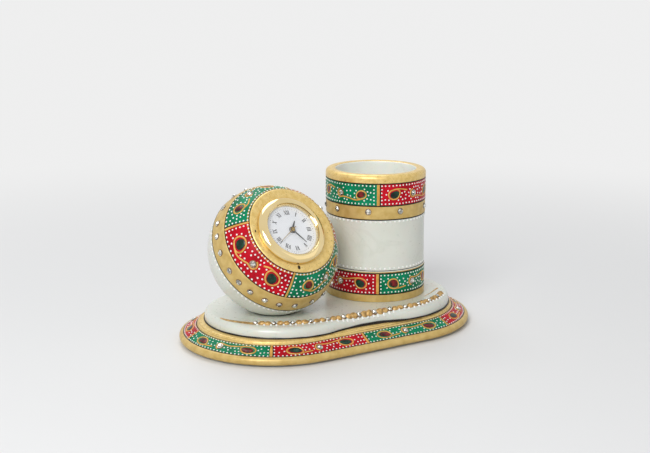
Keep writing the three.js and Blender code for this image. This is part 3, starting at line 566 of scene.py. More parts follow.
def slabOutline(inset, lobeSteps=72, waistSteps=24):
    left = slab['leftRadius'] - inset
    right = slab['rightRadius'] - inset
    hollow = slab['waist'] + inset
    span = slab['rightX'] - slab['leftX']
    toLeft, toRight = left + hollow, right + hollow
    waistX = slab['leftX'] + (span ** 2 + toLeft ** 2 - toRight ** 2) / (2 * span)
    waistY = math.sqrt(toLeft ** 2 - (waistX - slab['leftX']) ** 2)
    leftTurn = math.atan2(waistY, waistX - slab['leftX'])
    rightTurn = math.atan2(waistY, waistX - slab['rightX'])
    points = []

    def arc(x, y, radius, start, end, steps):
        for step in range(steps):
            turn = start + (end - start) * step / steps
            points.append((x + radius * math.cos(turn), y + radius * math.sin(turn)))
    arc(slab['leftX'], 0, left, leftTurn, 2 * math.pi - leftTurn, lobeSteps)
    arc(waistX, -waistY, hollow, math.pi - leftTurn, math.pi - rightTurn, waistSteps)
    arc(slab['rightX'], 0, right, -rightTurn, rightTurn, lobeSteps)
    arc(waistX, waistY, hollow, math.pi + rightTurn, math.pi + leftTurn, waistSteps)
    return points


def buildSlab():
    rise, top, bottom = slab['round'], slab['top'], slab['bottom']
    profile = [[3.0, bottom], [0.15, bottom], [0.0, bottom + 0.3]]
    for degrees in range(0, 91, 9):
        turn = math.radians(degrees)
        profile.append([rise * (1 - math.cos(turn)), top - rise + rise * math.sin(turn)])
    profile += [[rise + 1.5, top], [rise + 20, top]]
    loops = [[Vector((x, y, height)) * mm for x, y in slabOutline(inset)] for inset, height in profile]
    piece = sweptLoops('topSlabBody', loops)
    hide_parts('top_slab')
    finished(piece, 'whiteMarble', 28)
    # the dark line round the foot of the slab, uneven as a brush leaves it; its heavy part along the waist
    # is painted shade, for the dark gap under the slab's edge there
    outline = slabOutline(-0.1, 144, 48)
    swell = []
    for x, y in outline:
        waist = math.exp(-((x - slab['waistShadeMiddle']) / slab['waistShadeReach']) ** 2)
        waves = 0.2 * math.sin(x * 0.13 + y * 0.09) + 0.12 * math.sin(x * 0.5 - y * 0.3)
        swell.append(1.0 + 1.3 * waist + waves)
    line = strokes('slabFootLineAndShade', [(outline, True)], slab['line'], 0.5,
                   lambda x, y, z: Vector((x, y, bottom + 0.18 + max(z, -0.2))) * mm, swell)
    finished(line, 'darkInkAndPaintedShade')


buildSlab()
print("stage: top slab")


# pen cup

cup = {
    'x': 30.65, 'y': -2.1, 'foot': slab['top'], 'radius': 26.4, 'relief': 0.35, 'rimProud': 0.15,
    'inner': 21.5, 'height': 67.8, 'footRound': 0.5, 'rimRound': 2.2, 'rimInside': 0.9, 'floor': 7.0,
    'floorRound': 2, 'footTop': 4.2, 'lowerTop': 15.6, 'bodyBottom': 16.8, 'bodyTop': 44.4,
    'stoneBandTop': 51.6, 'upperTop': 63.3, 'groove': 0.15, 'divider': -35.4, 'panelMiddle': 9.6,
    'segments': 144,
}
cupRaised = cup['radius'] + cup['relief']


def onCup(angle, height, radius):
    # angle in degrees from the front towards +X
    turn = math.radians(angle)
    return Vector((cup['x'] + radius * math.sin(turn), cup['y'] - radius * math.cos(turn),
                   cup['foot'] + height)) * mm


def cupPlace(angle, height, radius):
    # lays a flat piece on the cup round a middle
    return lambda u, v, w: onCup(angle + math.degrees(u / radius), height + v, radius + w)


def buildCup():
    body, rim, inner, groove = cup['radius'], cupRaised + cup['rimProud'], cup['inner'], cup['groove']
    foot, lower, bottom, top = cup['footTop'], cup['lowerTop'], cup['bodyBottom'], cup['bodyTop']
    band, upper, height = cup['stoneBandTop'], cup['upperTop'], cup['height']
    footRound, floorRound = cup['footRound'], cup['floorRound']
    outRound, inRound = cup['rimRound'], cup['rimInside']
    profile = [[0, 0]] + arcPoints([rim - footRound, footRound], footRound, -90, 0, 4)
    profile += [[rim, foot - 0.35], [cupRaised - 0.2, foot - 0.1], [cupRaised, foot + 0.2],
                [cupRaised, lower - groove], [cupRaised - groove, lower], [cupRaised, lower + groove],
                [cupRaised, bottom - 0.4], [body, bottom], [body, (bottom + top) / 2], [body, top],
                [cupRaised, top + 0.3], [cupRaised, band - 0.2], [cupRaised - groove, band],
                [cupRaised, band + 0.2], [cupRaised, upper - groove], [cupRaised - groove, upper],
                [rim, upper + 0.35]]
    profile += arcPoints([rim - outRound, height - outRound], outRound, 0, 90, 10)
    profile += arcPoints([inner + inRound, height - inRound], inRound, 90, 180, 6)
    profile += [[inner, height - 3.6], [inner, 30], [inner, cup['floor'] + floorRound]]
    profile += arcPoints([inner - floorRound, cup['floor'] + floorRound], floorRound, 0, -90, 5)[1:]
    profile += [[0, cup['floor']]]

    def place(radius, turn, rise):
        return onCup(math.degrees(turn), rise, radius)
    piece = turnedPiece('penCupBody', profile, place, cup['segments'], math.radians(cup['divider']))

    def chooser(face):
        spot = face.center / mm - Vector((cup['x'], cup['y'], cup['foot']))
        odd = (math.degrees(math.atan2(spot.x, -spot.y)) - cup['divider']) % 360 // 90 % 2 == 1
        if spot.z < 0.01:
            return 'whiteMarble'
        # the inside of the cup takes the lighter marble, a painted light
        if math.hypot(spot.x, spot.y) < inner + 0.5 and spot.z < height - 0.3:
            return 'innerMarble'
        # from the foot up: where each ring of paint ends
        rings = ((foot - 0.05, 'goldPaint'), (lower, enamel(not odd)), (bottom - 0.3, 'goldPaint'),
                 (top + 0.1, 'whiteMarble'), (band + 0.1, 'goldPaint'), (upper + 0.1, enamel(odd)))
        return next((paint for end, paint in rings if spot.z <= end), 'goldLeaf')
    painted(piece, chooser, ['innerMarble'])
    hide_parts('pen_cup')
    finished(piece, None, 35)


buildCup()
print("stage: pen cup")


# clock ball

ball = {
    'centre': (-35.7, -2.1, 47.6), 'radius': 33.7, 'half': 31.35, 'tilt': 37.7, 'lipRadius': 23.5,
    'lipFace': 23.3, 'lipRound': 1.5, 'lipMiddle': 19.5, 'bandFront': 10.9, 'bandBack': 0.5, 'relief': 0.35,
    'bore': 17.4, 'boreDepth': 28.0, 'boreX': -1.6, 'boreY': -0.8, 'divider': -70.7, 'panelMiddle': 64.3,
    # the painted shade round the foot of the ball has its own lift and width
    'panelSlope': 56.8, 'segments': 144, 'seat': slab['top'], 'seam': 0.2, 'contactShadeWide': 0.8,
    # the radii that bend flat paint: along a meridian, and on the circles of the panels, pearls and band
    'meridian': 32.6, 'panelCircle': 28.2, 'pearlCircle': 33.6, 'bandCircle': 33.3,
}
turnUp = math.radians(90 - ball['tilt'])
clockAxis = Vector((0, -math.sin(turnUp), math.cos(turnUp)))
clockUp = Vector((0, math.cos(turnUp), math.sin(turnUp)))
clockSide = Vector((1, 0, 0))
ballCentre = Vector(ball['centre'])
boreShift = clockSide * ball['boreX'] + clockUp * ball['boreY']


def onBallAxis(angle, depth, radius):
    # angle in degrees clockwise from the top of the dial, depth along the clock's axis from the centre
    turn = math.radians(angle)
    out = clockSide * math.sin(turn) + clockUp * math.cos(turn)
    return (ballCentre + clockAxis * depth + out * radius) * mm


def ballRadiusAt(depth):
    return ball['radius'] * math.sqrt(max(0.0, 1 - (depth / ball['half']) ** 2))


def onBall(angle, slope, out):
    # slope is the angle from the clock's axis in degrees, on the ellipse
    turn = math.radians(slope)
    radius, depth = ball['radius'] * math.sin(turn), ball['half'] * math.cos(turn)
    normal = Vector((math.sin(turn) / ball['radius'], math.cos(turn) / ball['half'])).normalized()
    return onBallAxis(angle, depth + normal.y * out, radius + normal.x * out)


def slopeAt(depth):
    return math.degrees(math.acos(depth / ball['half']))


def ballPlace(angle, slope, out, circle):
    # lays a flat piece on the ball, where a circle round the clock's axis has the given radius
    return lambda u, v, w: onBall(angle + math.degrees(u / circle),
                                  slope + math.degrees(v / ball['meridian']), out + w)


def buildBall():
    front, back, face, bore = ball['bandFront'], ball['bandBack'], ball['lipFace'], ball['bore']
    boreFloor = face - ball['boreDepth']
    lipStart = ball['half'] * math.sqrt(1 - (ball['lipRadius'] / ball['radius']) ** 2)
    depths = [-ball['half'] * math.cos(math.radians(degrees)) for degrees in range(3, 90, 3)] + [0]
    profile = [[0, -ball['half']]] + [[ballRadiusAt(depth), depth] for depth in depths]
    profile.append([ballRadiusAt(back) - 0.1, back])
    for share in (0.03, 0.25, 0.5, 0.75, 0.97):
        depth = back + (front - back) * share
        profile.append([ballRadiusAt(depth) + ball['relief'], depth])
    profile.append([ballRadiusAt(front) - 0.1, front])
    for step in range(1, 12):
        depth = front + 0.25 + (lipStart - front - 0.5) * step / 12
        profile.append([ballRadiusAt(depth), depth])
    profile.append([ball['lipRadius'] + 0.1, lipStart - 0.15])
    for step in range(9):
        turn = math.radians(90 * step / 8)
        profile.append([ball['lipRadius'] - ball['lipRound'] * (1 - math.cos(turn)),
                        lipStart + (face - lipStart) * math.sin(turn)])
    profile += [[ball['lipMiddle'], face], [bore + 0.3, face], [bore, face - 0.3], [bore, face - 8],
                [bore, boreFloor], [0, boreFloor]]

    def place(radius, turn, height):
        # the bore is a little off the ball's axis
        spot = onBallAxis(math.degrees(turn), height, radius)
        return spot + boreShift * mm if radius < bore + 0.4 and height > boreFloor - 1 else spot
    piece = turnedPiece('clockBallBody', profile, place, ball['segments'], math.radians(ball['divider']))
    # the flat that the ball stands on
    onlySelected(piece)
    bpy.ops.object.mode_set(mode='EDIT')
    cutBelow(ball['seat'] * mm)
    bpy.ops.object.mode_set(mode='OBJECT')

    def chooser(face):
        offset = face.center / mm - ballCentre
        depth = offset.dot(clockAxis)
        around = offset - clockAxis * depth
        angle = math.degrees(math.atan2(around.dot(clockSide), around.dot(clockUp)))
        inBore = depth > boreFloor - 1 and (around - boreShift).length < bore + 0.05
        if abs(face.normal.z + 1) < 0.001 or inBore:
            return 'whiteMarble'
        if depth > lipStart - 0.1:
            return 'goldLeaf'
        if back < depth < front + 0.02:
            return 'goldPaint'
        if depth < back + 0.02:
            return 'whiteMarble'
        return enamel((angle - ball['divider']) % 360 // 90 % 2 == 0)
    painted(piece, chooser)
    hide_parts('clock_ball')
    finished(piece, None, 35)


def buildBallContactShade():
    # painted shade: a dark ring where the ball stands on the slab, for the shadow in the narrow wedge under
    # the ball
    height = ball['seat'] + ball['seam']
    drop = Vector((0, 0, height - ball['centre'][2]))
    points = []

    def form(first, second):
        # the ball's ellipsoid as a form: a point on it gives 1
        along = first.dot(clockAxis) * second.dot(clockAxis)
        return (first.dot(second) - along) / ball['radius'] ** 2 + along / ball['half'] ** 2
    for step in range(120):
        way = Vector((math.cos(math.pi * step / 60), math.sin(math.pi * step / 60), 0))
        outward, crossing, rest = form(way, way), form(way, drop), form(drop, drop) - 1
        reach = (-crossing + math.sqrt(crossing ** 2 - outward * rest)) / outward
        spot = ballCentre + way * (reach + 0.15)
        points.append((spot.x, spot.y))
    line = strokes('ballContactShade', [(points, True)], ball['contactShadeWide'], 0.5,
                   lambda x, y, z: Vector((x, y, height + max(z, -0.22))) * mm)
    finished(line, 'darkInkAndPaintedShade')


buildBall()
buildBallContactShade()
print("stage: clock ball")


# painted panels
# A panel is laid out flat in mm, u along it and v across it, and then laid on its surface.

looseTries = 900  # tries at a loose dot in each panel
firstSeed = 11  # each panel has its own seed, counted on from this one
scrollHeight = 0.24
cupPanel = {'length': 41.5, 'spread': 12.4, 'line': 0.68, 'dot': 0.44, 'pitch': 1.95, 'border': 1.0,
            'divider': 1.5, 'ring': 2.15, 'shift': 0.0}
panelKinds = {
    'plate': {'length': platePitch, 'width': 7.87, 'spread': 14.6, 'eye': (3.8, 2.25), 'fill': (2.95, 1.55),
              'swing': 1.9, 'line': 0.72, 'dot': 0.42, 'pitch': 2.0, 'border': 0.75, 'divider': 1.4,
              'ring': 2.05, 'greenShrink': 1.0, 'flip': 1, 'shift': plate['paintShift'], 'greenFirst': True},
    'cupUpper': {**cupPanel, 'width': 11.5, 'eye': (3.0, 2.5), 'fill': (2.35, 1.9), 'swing': 2.9,
                 'greenShrink': 0.84, 'flip': -1, 'greenFirst': False},
    'cupLower': {**cupPanel, 'width': 11.2, 'eye': (3.0, 2.6), 'fill': (2.3, 2.0), 'swing': 2.7,
                 'greenShrink': 0.96, 'flip': 1, 'greenFirst': True},
    'ball': {'length': 44.3, 'width': 14.9, 'spread': 12.2, 'eye': (3.6, 3.4), 'fill': (2.4, 2.55),
             'swing': 4.3, 'line': 0.84, 'dot': 0.5, 'pitch': 2.3, 'border': 1.1, 'divider': 1.1,
             'ring': 2.35, 'greenShrink': 0.82, 'flip': 1, 'shift': 0.0, 'greenFirst': False},
}


def dropOutline(centre, size, flip, steps=22):
    # a drop: round, drawn out to a point at the near upper side
    points = []
    for step in range(steps):
        turn = 2 * math.pi * step / steps
        pull = 1 + 0.3 * max(0.0, math.cos(turn - math.radians(135))) ** 4
        points.append((centre[0] + size[0] * pull * math.cos(turn),
                       centre[1] + size[1] * pull * math.sin(turn) * flip))
    return points


def eyeSize(kind, green, part):
    shrink = kind['greenShrink'] if green else 1.0
    return kind[part][0] * shrink, kind[part][1] * shrink


def panelScroll(kind, green):
    # the stem of one eye hooks round the stone, the other eye ends in a short tail
    spread, swing, ring = kind['spread'], kind['swing'], kind['ring']
    reach, rise = eyeSize(kind, green, 'eye')
    flip, shift = kind['flip'], kind['shift']
    eye = dropOutline((spread, 0), (reach, rise), flip)
    stem = smoothPath([(spread + reach * 0.75, rise * 0.72), (spread - reach * 0.1, rise * 1.08),
                       (spread - reach * 1.15, swing), (spread * 0.34, swing * 0.66),
                       (ring * 0.75, ring * 0.8), (-ring * 0.35, ring * 0.98), (-ring * 1.02, ring * 0.3),
                       (-ring * 0.92, -ring * 0.5), (-ring * 0.3, -ring)])
    tail = smoothPath([(-spread - reach * 0.75, -rise * 0.72), (-spread + reach * 0.1, -rise * 1.08),
                       (-spread + reach * 1.15, -swing), (-spread * 0.38, -swing * 0.72)])
    # the eyes move with the paint and the stem stays on the stone
    return [([(u + shift, v) for u, v in eye], True), ([(-u + shift, -v) for u, v in eye], True),
            ([(u + shift * min(1.0, max(0.0, u / spread)), v * flip) for u, v in stem], False),
            ([(u + shift, v * flip) for u, v in tail], False)]


def panelDots(kind, paths, green, seed):
    # a row along the border, double rows along the lines, and loose dots where there is room
    chance = random.Random(seed)
    half, across, shift = kind['length'] / 2, kind['width'] / 2, kind['shift']
    wide, tall = half - kind['divider'] / 2 - kind['border'], across - kind['border']
    rowCount, endCount = round(2 * wide / kind['pitch']), round(2 * tall / kind['pitch'])
    border = [(-wide + 2 * wide * index / rowCount, v)
              for index in range(rowCount + 1) for v in (-tall, tall)]
    border += [(u, -tall + 2 * tall * index / endCount)
               for index in range(1, endCount) for u in (-wide, wide)]
    dots = [(u + shift + chance.uniform(-0.08, 0.08), v + chance.uniform(-0.08, 0.08)) for u, v in border]
    clear = kind['line'] / 2 + kind['dot'] * 1.7
    gap = kind['pitch'] * 0.86
    reach, rise = [size + clear for size in eyeSize(kind, green, 'eye')]

    def free(u, v):
        blocked = (abs(u - shift) > wide - gap * 0.9 or abs(v) > tall - gap * 0.9
                   or any(((u - shift - middle) / reach) ** 2 + (v / rise) ** 2 < 1
                          for middle in (kind['spread'], -kind['spread']))
                   or math.hypot(u, v) < kind['ring'] + clear * 0.7
                   or any(math.hypot(u - a, v - b) < clear for points, _ in paths for a, b in points))
        return not blocked and all((u - a) ** 2 + (v - b) ** 2 > gap ** 2 for a, b in dots)
    for points, _ in paths:
        for (u, v), (nextU, nextV) in zip(points, points[1:]):
            length = math.hypot(nextU - u, nextV - v) or 1.0
            for offset in (clear + 0.12, -clear - 0.12):
                spot = (u - (nextV - v) / length * offset, v + (nextU - u) / length * offset)
                if free(*spot):
                    dots.append(spot)
    for attempt in range(looseTries):
        spot = (chance.uniform(-half, half) + shift, chance.uniform(-across, across))
        if free(*spot):
            dots.append(spot)
    return dots


def eyeDrop(kind, green):
    # the dark foil inside an eye, flat with a low crown
    centre = Vector((kind['spread'] - kind['fill'][0] * 0.12, -kind['fill'][1] * 0.1 * kind['flip']))
    outline = dropOutline(centre, eyeSize(kind, green, 'fill'), kind['flip'], 24)
    loops = []
    for share, height in ((1.0, -0.05), (1.0, 0.05), (0.8, 0.14), (0.45, 0.2)):
        loops.append([Vector((*(centre + (Vector(point) - centre) * share), height)) for point in outline])
    return sweptLoops('eyeDrop', loops)


def panelPieces(prefix, kind, places):
    # places hold one function for each panel; the colours alternate
    scrolls, eyes, dots = [], {True: [], False: []}, []
    for green in (True, False):
        paths = panelScroll(kind, green)
        scroll = strokes('line', paths, kind['line'], scrollHeight, lambda u, v, w: Vector((u, v, w + 0.02)))
        eye = eyeDrop(kind, green)
        for index, place in enumerate(places):
            if ((index % 2 == 0) == kind['greenFirst']) != green:
                continue
            scrolls.append(laidCopy(scroll, place))
            moved = shifted(place, kind['shift'], 0)
            eyes[green].append(laidCopy(eye, moved))
            eyes[green].append(laidCopy(eye, lambda u, v, w, moved=moved: moved(-u, -v, w)))
            dots += [shifted(place, u, v) for u, v in panelDots(kind, paths, green, firstSeed + index)]
        removed(scroll)
        removed(eye)
    joined(prefix + 'Scrolls', scrolls, 'goldLine')
    joined(prefix + 'RedEyes', eyes[True], 'redEye')
    joined(prefix + 'GreenEyes', eyes[False], 'greenEye')
    dotsOn(prefix + 'Dots', dots, kind['dot'], kind['dot'] * 0.55)


def platePlace(index):
    start = plate['panelStart'] + (index + 0.5) * platePitch
    run, rise = plate['bevelIn'] - plate['edgeRound'], plate['bevelTop'] - plate['edgeTop']
    inward, upward = run / math.hypot(run, rise), rise / math.hypot(run, rise)
    middle = (plate['bevelTop'] + plate['edgeTop']) / 2
    return lambda u, v, w: onPlate(start + u, bevelMiddle + v * inward - w * upward,
                                   middle + v * upward + w * inward)


def cupPlaces(bottom, top):
    return [cupPlace(cup['panelMiddle'] + 90 * index, (bottom + top) / 2, cupRaised) for index in range(4)]


panelPlaces = {
    'plate': [platePlace(index) for index in range(plate['panels'])],
    'cupUpper': cupPlaces(cup['stoneBandTop'], cup['upperTop']),
    'cupLower': cupPlaces(cup['footTop'], cup['lowerTop']),
    'ball': [ballPlace(ball['panelMiddle'] + 90 * index, ball['panelSlope'], 0, ball['panelCircle'])
             for index in range(4)],
}
for prefix, places in panelPlaces.items():
    panelPieces(prefix, panelKinds[prefix], places)
print("stage: painted panels")


# lines and dividers

lines = {
    'height': 0.12, 'dividerHeight': 0.16, 'cupDark': 0.8, 'cupThin': 0.4, 'ballDark': 0.62, 'ballGold': 0.5,
    'plateDark': 0.6, 'plateGold': 0.3, 'dividerDark': 0.7,
    # how far the lines lie from the middle of the bevel, and their depths in front of the ball's middle
    'plateDarkOff': 3.78, 'plateGoldOff': 3.42, 'lipDark': 22.55, 'lipGold': 21.9,
    # the place of each streak on the ledge in degrees, its width and its phase
    'streaks': ((24, 0.34, 0.0), (50, 0.3, 2.1), (74, 0.24, 4.4)), 'streakMiddle': 18, 'streakReach': 26,
}


def buildLines():
    dark, gold, brown = [], [], []
    turns = [(360 * index / 144, 0) for index in range(145)]
    lengths = [(platePerimeter * index / 320, 0) for index in range(321)]

    def cupRing(height, radius, width):
        return openStroke(turns, width, lines['height'],
                          lambda angle, across, w: onCup(angle, height + across, radius + w))
    for height in (cup['footTop'] + 0.05, cup['lowerTop'] - 0.05, cup['stoneBandTop'], cup['upperTop']):
        dark.append(cupRing(height, cupRaised - 0.02, lines['cupDark']))
    dark.append(cupRing(cup['bodyTop'] - 0.1, cup['radius'] + 0.05, lines['cupDark']))
    dark.append(cupRing(cup['bodyBottom'] + 0.1, cup['radius'] + 0.02, lines['cupThin']))

    def ballRing(depth, out, width):
        slope = slopeAt(depth)
        return openStroke(turns, width, lines['height'], lambda angle, across, w: onBall(
            angle, slope + math.degrees(across / ball['meridian']), out + w))
    for depth, out in ((ball['bandBack'] + 0.4, ball['relief'] - 0.03), (ball['bandFront'] + 0.1, 0.02),
                       (lines['lipDark'], 0.05)):
        dark.append(ballRing(depth, out, lines['ballDark']))
    gold.append(ballRing(lines['lipGold'], 0.02, lines['ballGold']))

    def ledgeStreak(turn, width, phase):
        # a brush streak, heavy along the waist
        swell = []
        for length, _ in lengths:
            way = math.tau * length / platePerimeter
            off = (plateStation(length)[0].x - lines['streakMiddle']) / lines['streakReach']
            waves = 0.25 * math.sin(5 * way + phase) + 0.2 * math.sin(14 * way - phase)
            swell.append(max(0.08, 0.2 + 0.8 * math.exp(-off ** 2) + waves))
        inset, height = ledgeSpot(math.radians(turn))
        return openStroke(lengths, width, 0.1, lambda u, across, w: onPlate(
            u, inset + across * 0.5, height + across * 0.8 + w), swell)
    brown += [ledgeStreak(*streak) for streak in lines['streaks']]
    for rings, v, width in ((dark, -lines['plateDarkOff'], lines['plateDark']),
                            (dark, lines['plateDarkOff'], lines['plateDark']),
                            (gold, lines['plateGoldOff'], lines['plateGold'])):
        rings.append(openStroke(lengths, width, lines['height'], shifted(panelPlaces['plate'][0], 0, v)))

    # each divider between two panels has a gold line and a dark one beside it
    for prefix, kind in panelKinds.items():
        across = kind['width'] / 2 - 0.2
        for place in panelPlaces[prefix]:
            for rows, offset, width, height in (
                    (gold, 0, kind['divider'], lines['dividerHeight']),
                    (dark, kind['divider'] / 2 + 0.25, lines['dividerDark'], lines['height'])):
                u = kind['shift'] + offset - kind['length'] / 2
                points = [(u, -across + across * step / 4) for step in range(9)]
                rows.append(openStroke(points, width, height, place))
    joined('darkLines', dark, 'darkInkAndPaintedShade', angle=32)
    joined('brownLines', brown, 'streakPaint', angle=32)
    joined('goldLines', gold, 'goldLine', angle=32)


buildLines()
print("stage: lines")


# pearl rows on the white parts

pearls = {'cupInset': 1.3, 'cupCount': 64, 'ballCount': 84, 'ballSlope': 91.6, 'radius': 0.6, 'height': 0.4}


def buildPearlRows():
    spots = []
    for height in (cup['bodyBottom'] + pearls['cupInset'], cup['bodyTop'] - pearls['cupInset']):
        for index in range(pearls['cupCount']):
            angle = 360 * index / pearls['cupCount'] + (height * 7) % 5
            spots.append(cupPlace(angle, height, cup['radius']))
    for index in range(pearls['ballCount']):
        spots.append(ballPlace(360 * index / pearls['ballCount'], pearls['ballSlope'], 0,
                               ball['pearlCircle']))
    # no dot where the ball stands on the slab
    kept = [place for place in spots if place(0, 0, 0).z > (ball['seat'] + 0.6) * mm]
    dotsOn('pearlRows', kept, pearls['radius'], pearls['height'])


buildPearlRows()
print("stage: pearl rows")


# cut stones

# the radius and the height of a stone
stoneSizes = {
    'plate': (1.45, 1.0), 'cup': (1.45, 1.0), 'ball': (1.5, 1.05), 'band': (1.35, 0.95),
    'trail': (1.25, 1.0),
}


def cutStone(radius, height, sides=12):
    # a round girdle, a crown of facets and a flat table, set in a thin foil cup
    nothingSelected()
    bpy.ops.mesh.primitive_cylinder_add(vertices=sides, radius=radius * 1.06, depth=height * 0.3,
                                        location=(0, 0, height * 0.15))
    stone = named(bpy.context.object, 'stone')
    bpy.ops.object.transform_apply(location=True, rotation=False, scale=False)
    bpy.ops.object.mode_set(mode='EDIT')
    bm = bmesh.from_edit_mesh(stone.data)
    for face in bm.faces:
        face.select = face.normal.z > 0.9
    bm.select_flush(True)
    bpy.ops.mesh.inset(thickness=radius * 0.12, depth=0)
    for share in (0.8, 0.72):
        bpy.ops.mesh.extrude_region_move(TRANSFORM_OT_translate={"value": (0, 0, height * 0.35)})
        bpy.ops.transform.resize(value=(share, share, 1), center_override=(0, 0, 0))
        bpy.ops.transform.rotate(value=math.pi / sides / 2, orient_axis='Z', center_override=(0, 0, 0))
    bpy.ops.object.mode_set(mode='OBJECT')
    return stone


def stonesOn(name, places, radius, height, replaced=()):
    # each stone sits in a thin ring of dark paste
    stone, seat = cutStone(radius, height), domeDot(radius * 1.3, 0.22, 14)
    copies = [laidCopy(stone, place) for place in places]
    seats = [laidCopy(seat, place) for place in places]
    removed(stone)
    removed(seat)
    joined(name + 'Seats', seats, 'brownPasteAndPaintedShade')
    piece = joined(name, copies, 'cutStone', 0)
    if replaced:
        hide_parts(*replaced)


stonesOn('plateStones', panelPlaces['plate'], *stoneSizes['plate'],
         [f'plate_stone_{index + 1}' for index in range(plate['panels'])])
stonesOn('cupStones', panelPlaces['cupUpper'] + panelPlaces['cupLower'], *stoneSizes['cup'],
         [f'cup_{row}_stone_{index + 1}' for row in ('lower', 'upper') for index in range(4)])
stonesOn('ballStones', panelPlaces['ball'], *stoneSizes['ball'],
         [f'ball_stone_{index + 1}' for index in range(4)])

# the band stones are set by hand, so the steps between them differ
bands = {
    'cupTurns': (-117.5, -86.5, -46, -9, 36.5, 76, 116, 156, 200), 'cupHeight': 48.5, 'ballDepth': 5.6,
    'ballTurns': (-10, -25, -42.5, -60, -73, -88.5, -106, -118.5, -131, -145.5, -159, -174, -192, -207, -222,
                  -237, -251, -266, -281, -296, -311, -326, -340, -355),
}
bandPlaces = [cupPlace(angle, bands['cupHeight'], cupRaised) for angle in bands['cupTurns']]
for angle in bands['ballTurns']:
    place = ballPlace(angle, slopeAt(bands['ballDepth']), ball['relief'], ball['bandCircle'])
    if place(0, 0, 0).z > (ball['seat'] + 1.6) * mm:
        bandPlaces.append(place)
stonesOn('bandStones', bandPlaces, *stoneSizes['band'])
print("stage: cut stones")


# gold trail on the slab

trail = [(-66.5, 0), (-64.8, -7.5), (-58.5, -17.8), (-50.2, -25.3), (-41.4, -30.1), (-31.6, -33.5),
         (-20.4, -35.3), (-8, -36.1), (3.1, -37.3), (15.8, -38.9), (27.5, -39.9), (40.2, -37.2),
         (48.5, -33.9), (55.6, -28.8), (59.5, -24.5)]
trailEnd = [(42.8, -29.5), (49.3, -26.5), (54.6, -23.6), (59.8, -20.7)]
dabs = {
    'seed': 5, 'first': 21.5, 'pitch': 9.25, 'last': 6.0, 'size': (2.05, 1.7, 1.6), 'seat': 0.6,
    'seatSize': 1.5, 'parts': (0.0, 0.35, 0.67), 'pearlParts': (0.14, 0.51, 0.86), 'pearlGap': 0.25,
    'pearlSize': (0.62, 0.7), 'paintedShade': 0.45, 'paintedShadeShift': 0.22, 'leadIn': (3.4, 0.45),
    'leadOut': (1.5, 0.3),
}
slabEdge = slabOutline(0, 144, 72)


def onSlab(u, v, w):
    # the top rounds off towards the edge of the slab
    inset = min(math.hypot(u - x, v - y) for x, y in slabEdge)
    over = min(max(slab['round'] - inset, 0.0), slab['round'])
    return Vector((u, v, slab['top'] - slab['round'] + math.sqrt(slab['round'] ** 2 - over ** 2) + w)) * mm


def slabPlace(spot, size=(1, 1, 1), turn=Matrix.Identity(2), shift=0.0, lift=0.0):
    # lays a flat piece on the slab, sized, turned and moved to its spot
    long, wide, tall = size

    def place(a, b, w):
        u, v = spot + turn @ Vector((a * long + shift, b * wide))
        return onSlab(u, v, w * tall + lift)
    return place


def buildTrail():
    path = [Vector(point) for point in smoothPath(trail, 10)]
    lengths = [0.0]
    for before, after in zip(path, path[1:]):
        lengths.append(lengths[-1] + (after - before).length)

    def spotAt(distance):
        # the spot and the way on at a distance along the trail
        index = next(index for index in range(len(path) - 1) if lengths[index + 1] >= distance)
        before, after = path[index], path[index + 1]
        share = (distance - lengths[index]) / (lengths[index + 1] - lengths[index])
        return before.lerp(after, share), (after - before).normalized()

    # tapered strokes lead in and out
    leadIn = [point for point, length in zip(path, lengths) if length < dabs['first'] + 0.5]
    taper = [0.15 + 0.95 * (index / len(leadIn)) ** 0.7 for index in range(len(leadIn))]
    gold = [openStroke(leadIn, *dabs['leadIn'], onSlab, taper)]
    leadOut = smoothPath(trailEnd, 8)
    taper = [0.3 + 0.7 * index / len(leadOut) for index in range(len(leadOut))]
    gold.append(openStroke(leadOut, *dabs['leadOut'], onSlab, taper))
    # a stone on a seat of gold, then two raised dabs of gold, each with a painted shade under it, a flatter
    # brown copy moved a little along the trail, and pearls beside them
    chance = random.Random(dabs['seed'])
    dab = domeDot(1.0, 1.0, 12)
    paintedShade, pearlSpots, stones, seats = [], [], [], []
    distance = dabs['first']
    while distance < lengths[-1] - dabs['last']:
        for part, pearlPart in zip(dabs['parts'], dabs['pearlParts']):
            spot, way = spotAt(distance + dabs['pitch'] * part)
            turn = Matrix.Rotation(math.atan2(way.y, way.x) + chance.uniform(-0.35, 0.35), 2)
            long, wide, tall = [size * chance.uniform(0.9, 1.1) for size in dabs['size']]
            if part == 0:
                stones.append(slabPlace(spot, lift=dabs['seat'] * 0.6))
                seats.append(slabPlace(spot, (dabs['seatSize'], dabs['seatSize'], dabs['seat'])))
            else:
                gold.append(laidCopy(dab, slabPlace(spot, (long, wide, tall), turn)))
                # painted shade: a flatter brown copy of the dab, moved a little, stands in for the shadow
                # beside it
                paintedShadeSize = (long, wide, dabs['paintedShade'])
                paintedShade.append(laidCopy(dab, slabPlace(spot, paintedShadeSize, turn, dabs['paintedShadeShift'])))
            middle, _ = spotAt(distance + dabs['pitch'] * pearlPart)
            across = Vector((-way.y, way.x)) * (dabs['size'][1] + dabs['pearlGap'])
            pearlSpots += [slabPlace(middle + across), slabPlace(middle - across)]
        distance += dabs['pitch']
    gold += [laidCopy(dab, place) for place in seats]
    removed(dab)
    joined('trailGold', gold, 'trailGold')
    joined('trailPaintedShade', paintedShade, 'brownPasteAndPaintedShade')
    dotsOn('trailPearls', pearlSpots, *dabs['pearlSize'])
    stonesOn('trailStones', stones, *stoneSizes['trail'])


buildTrail()
print("stage: gold trail")


# insert clock

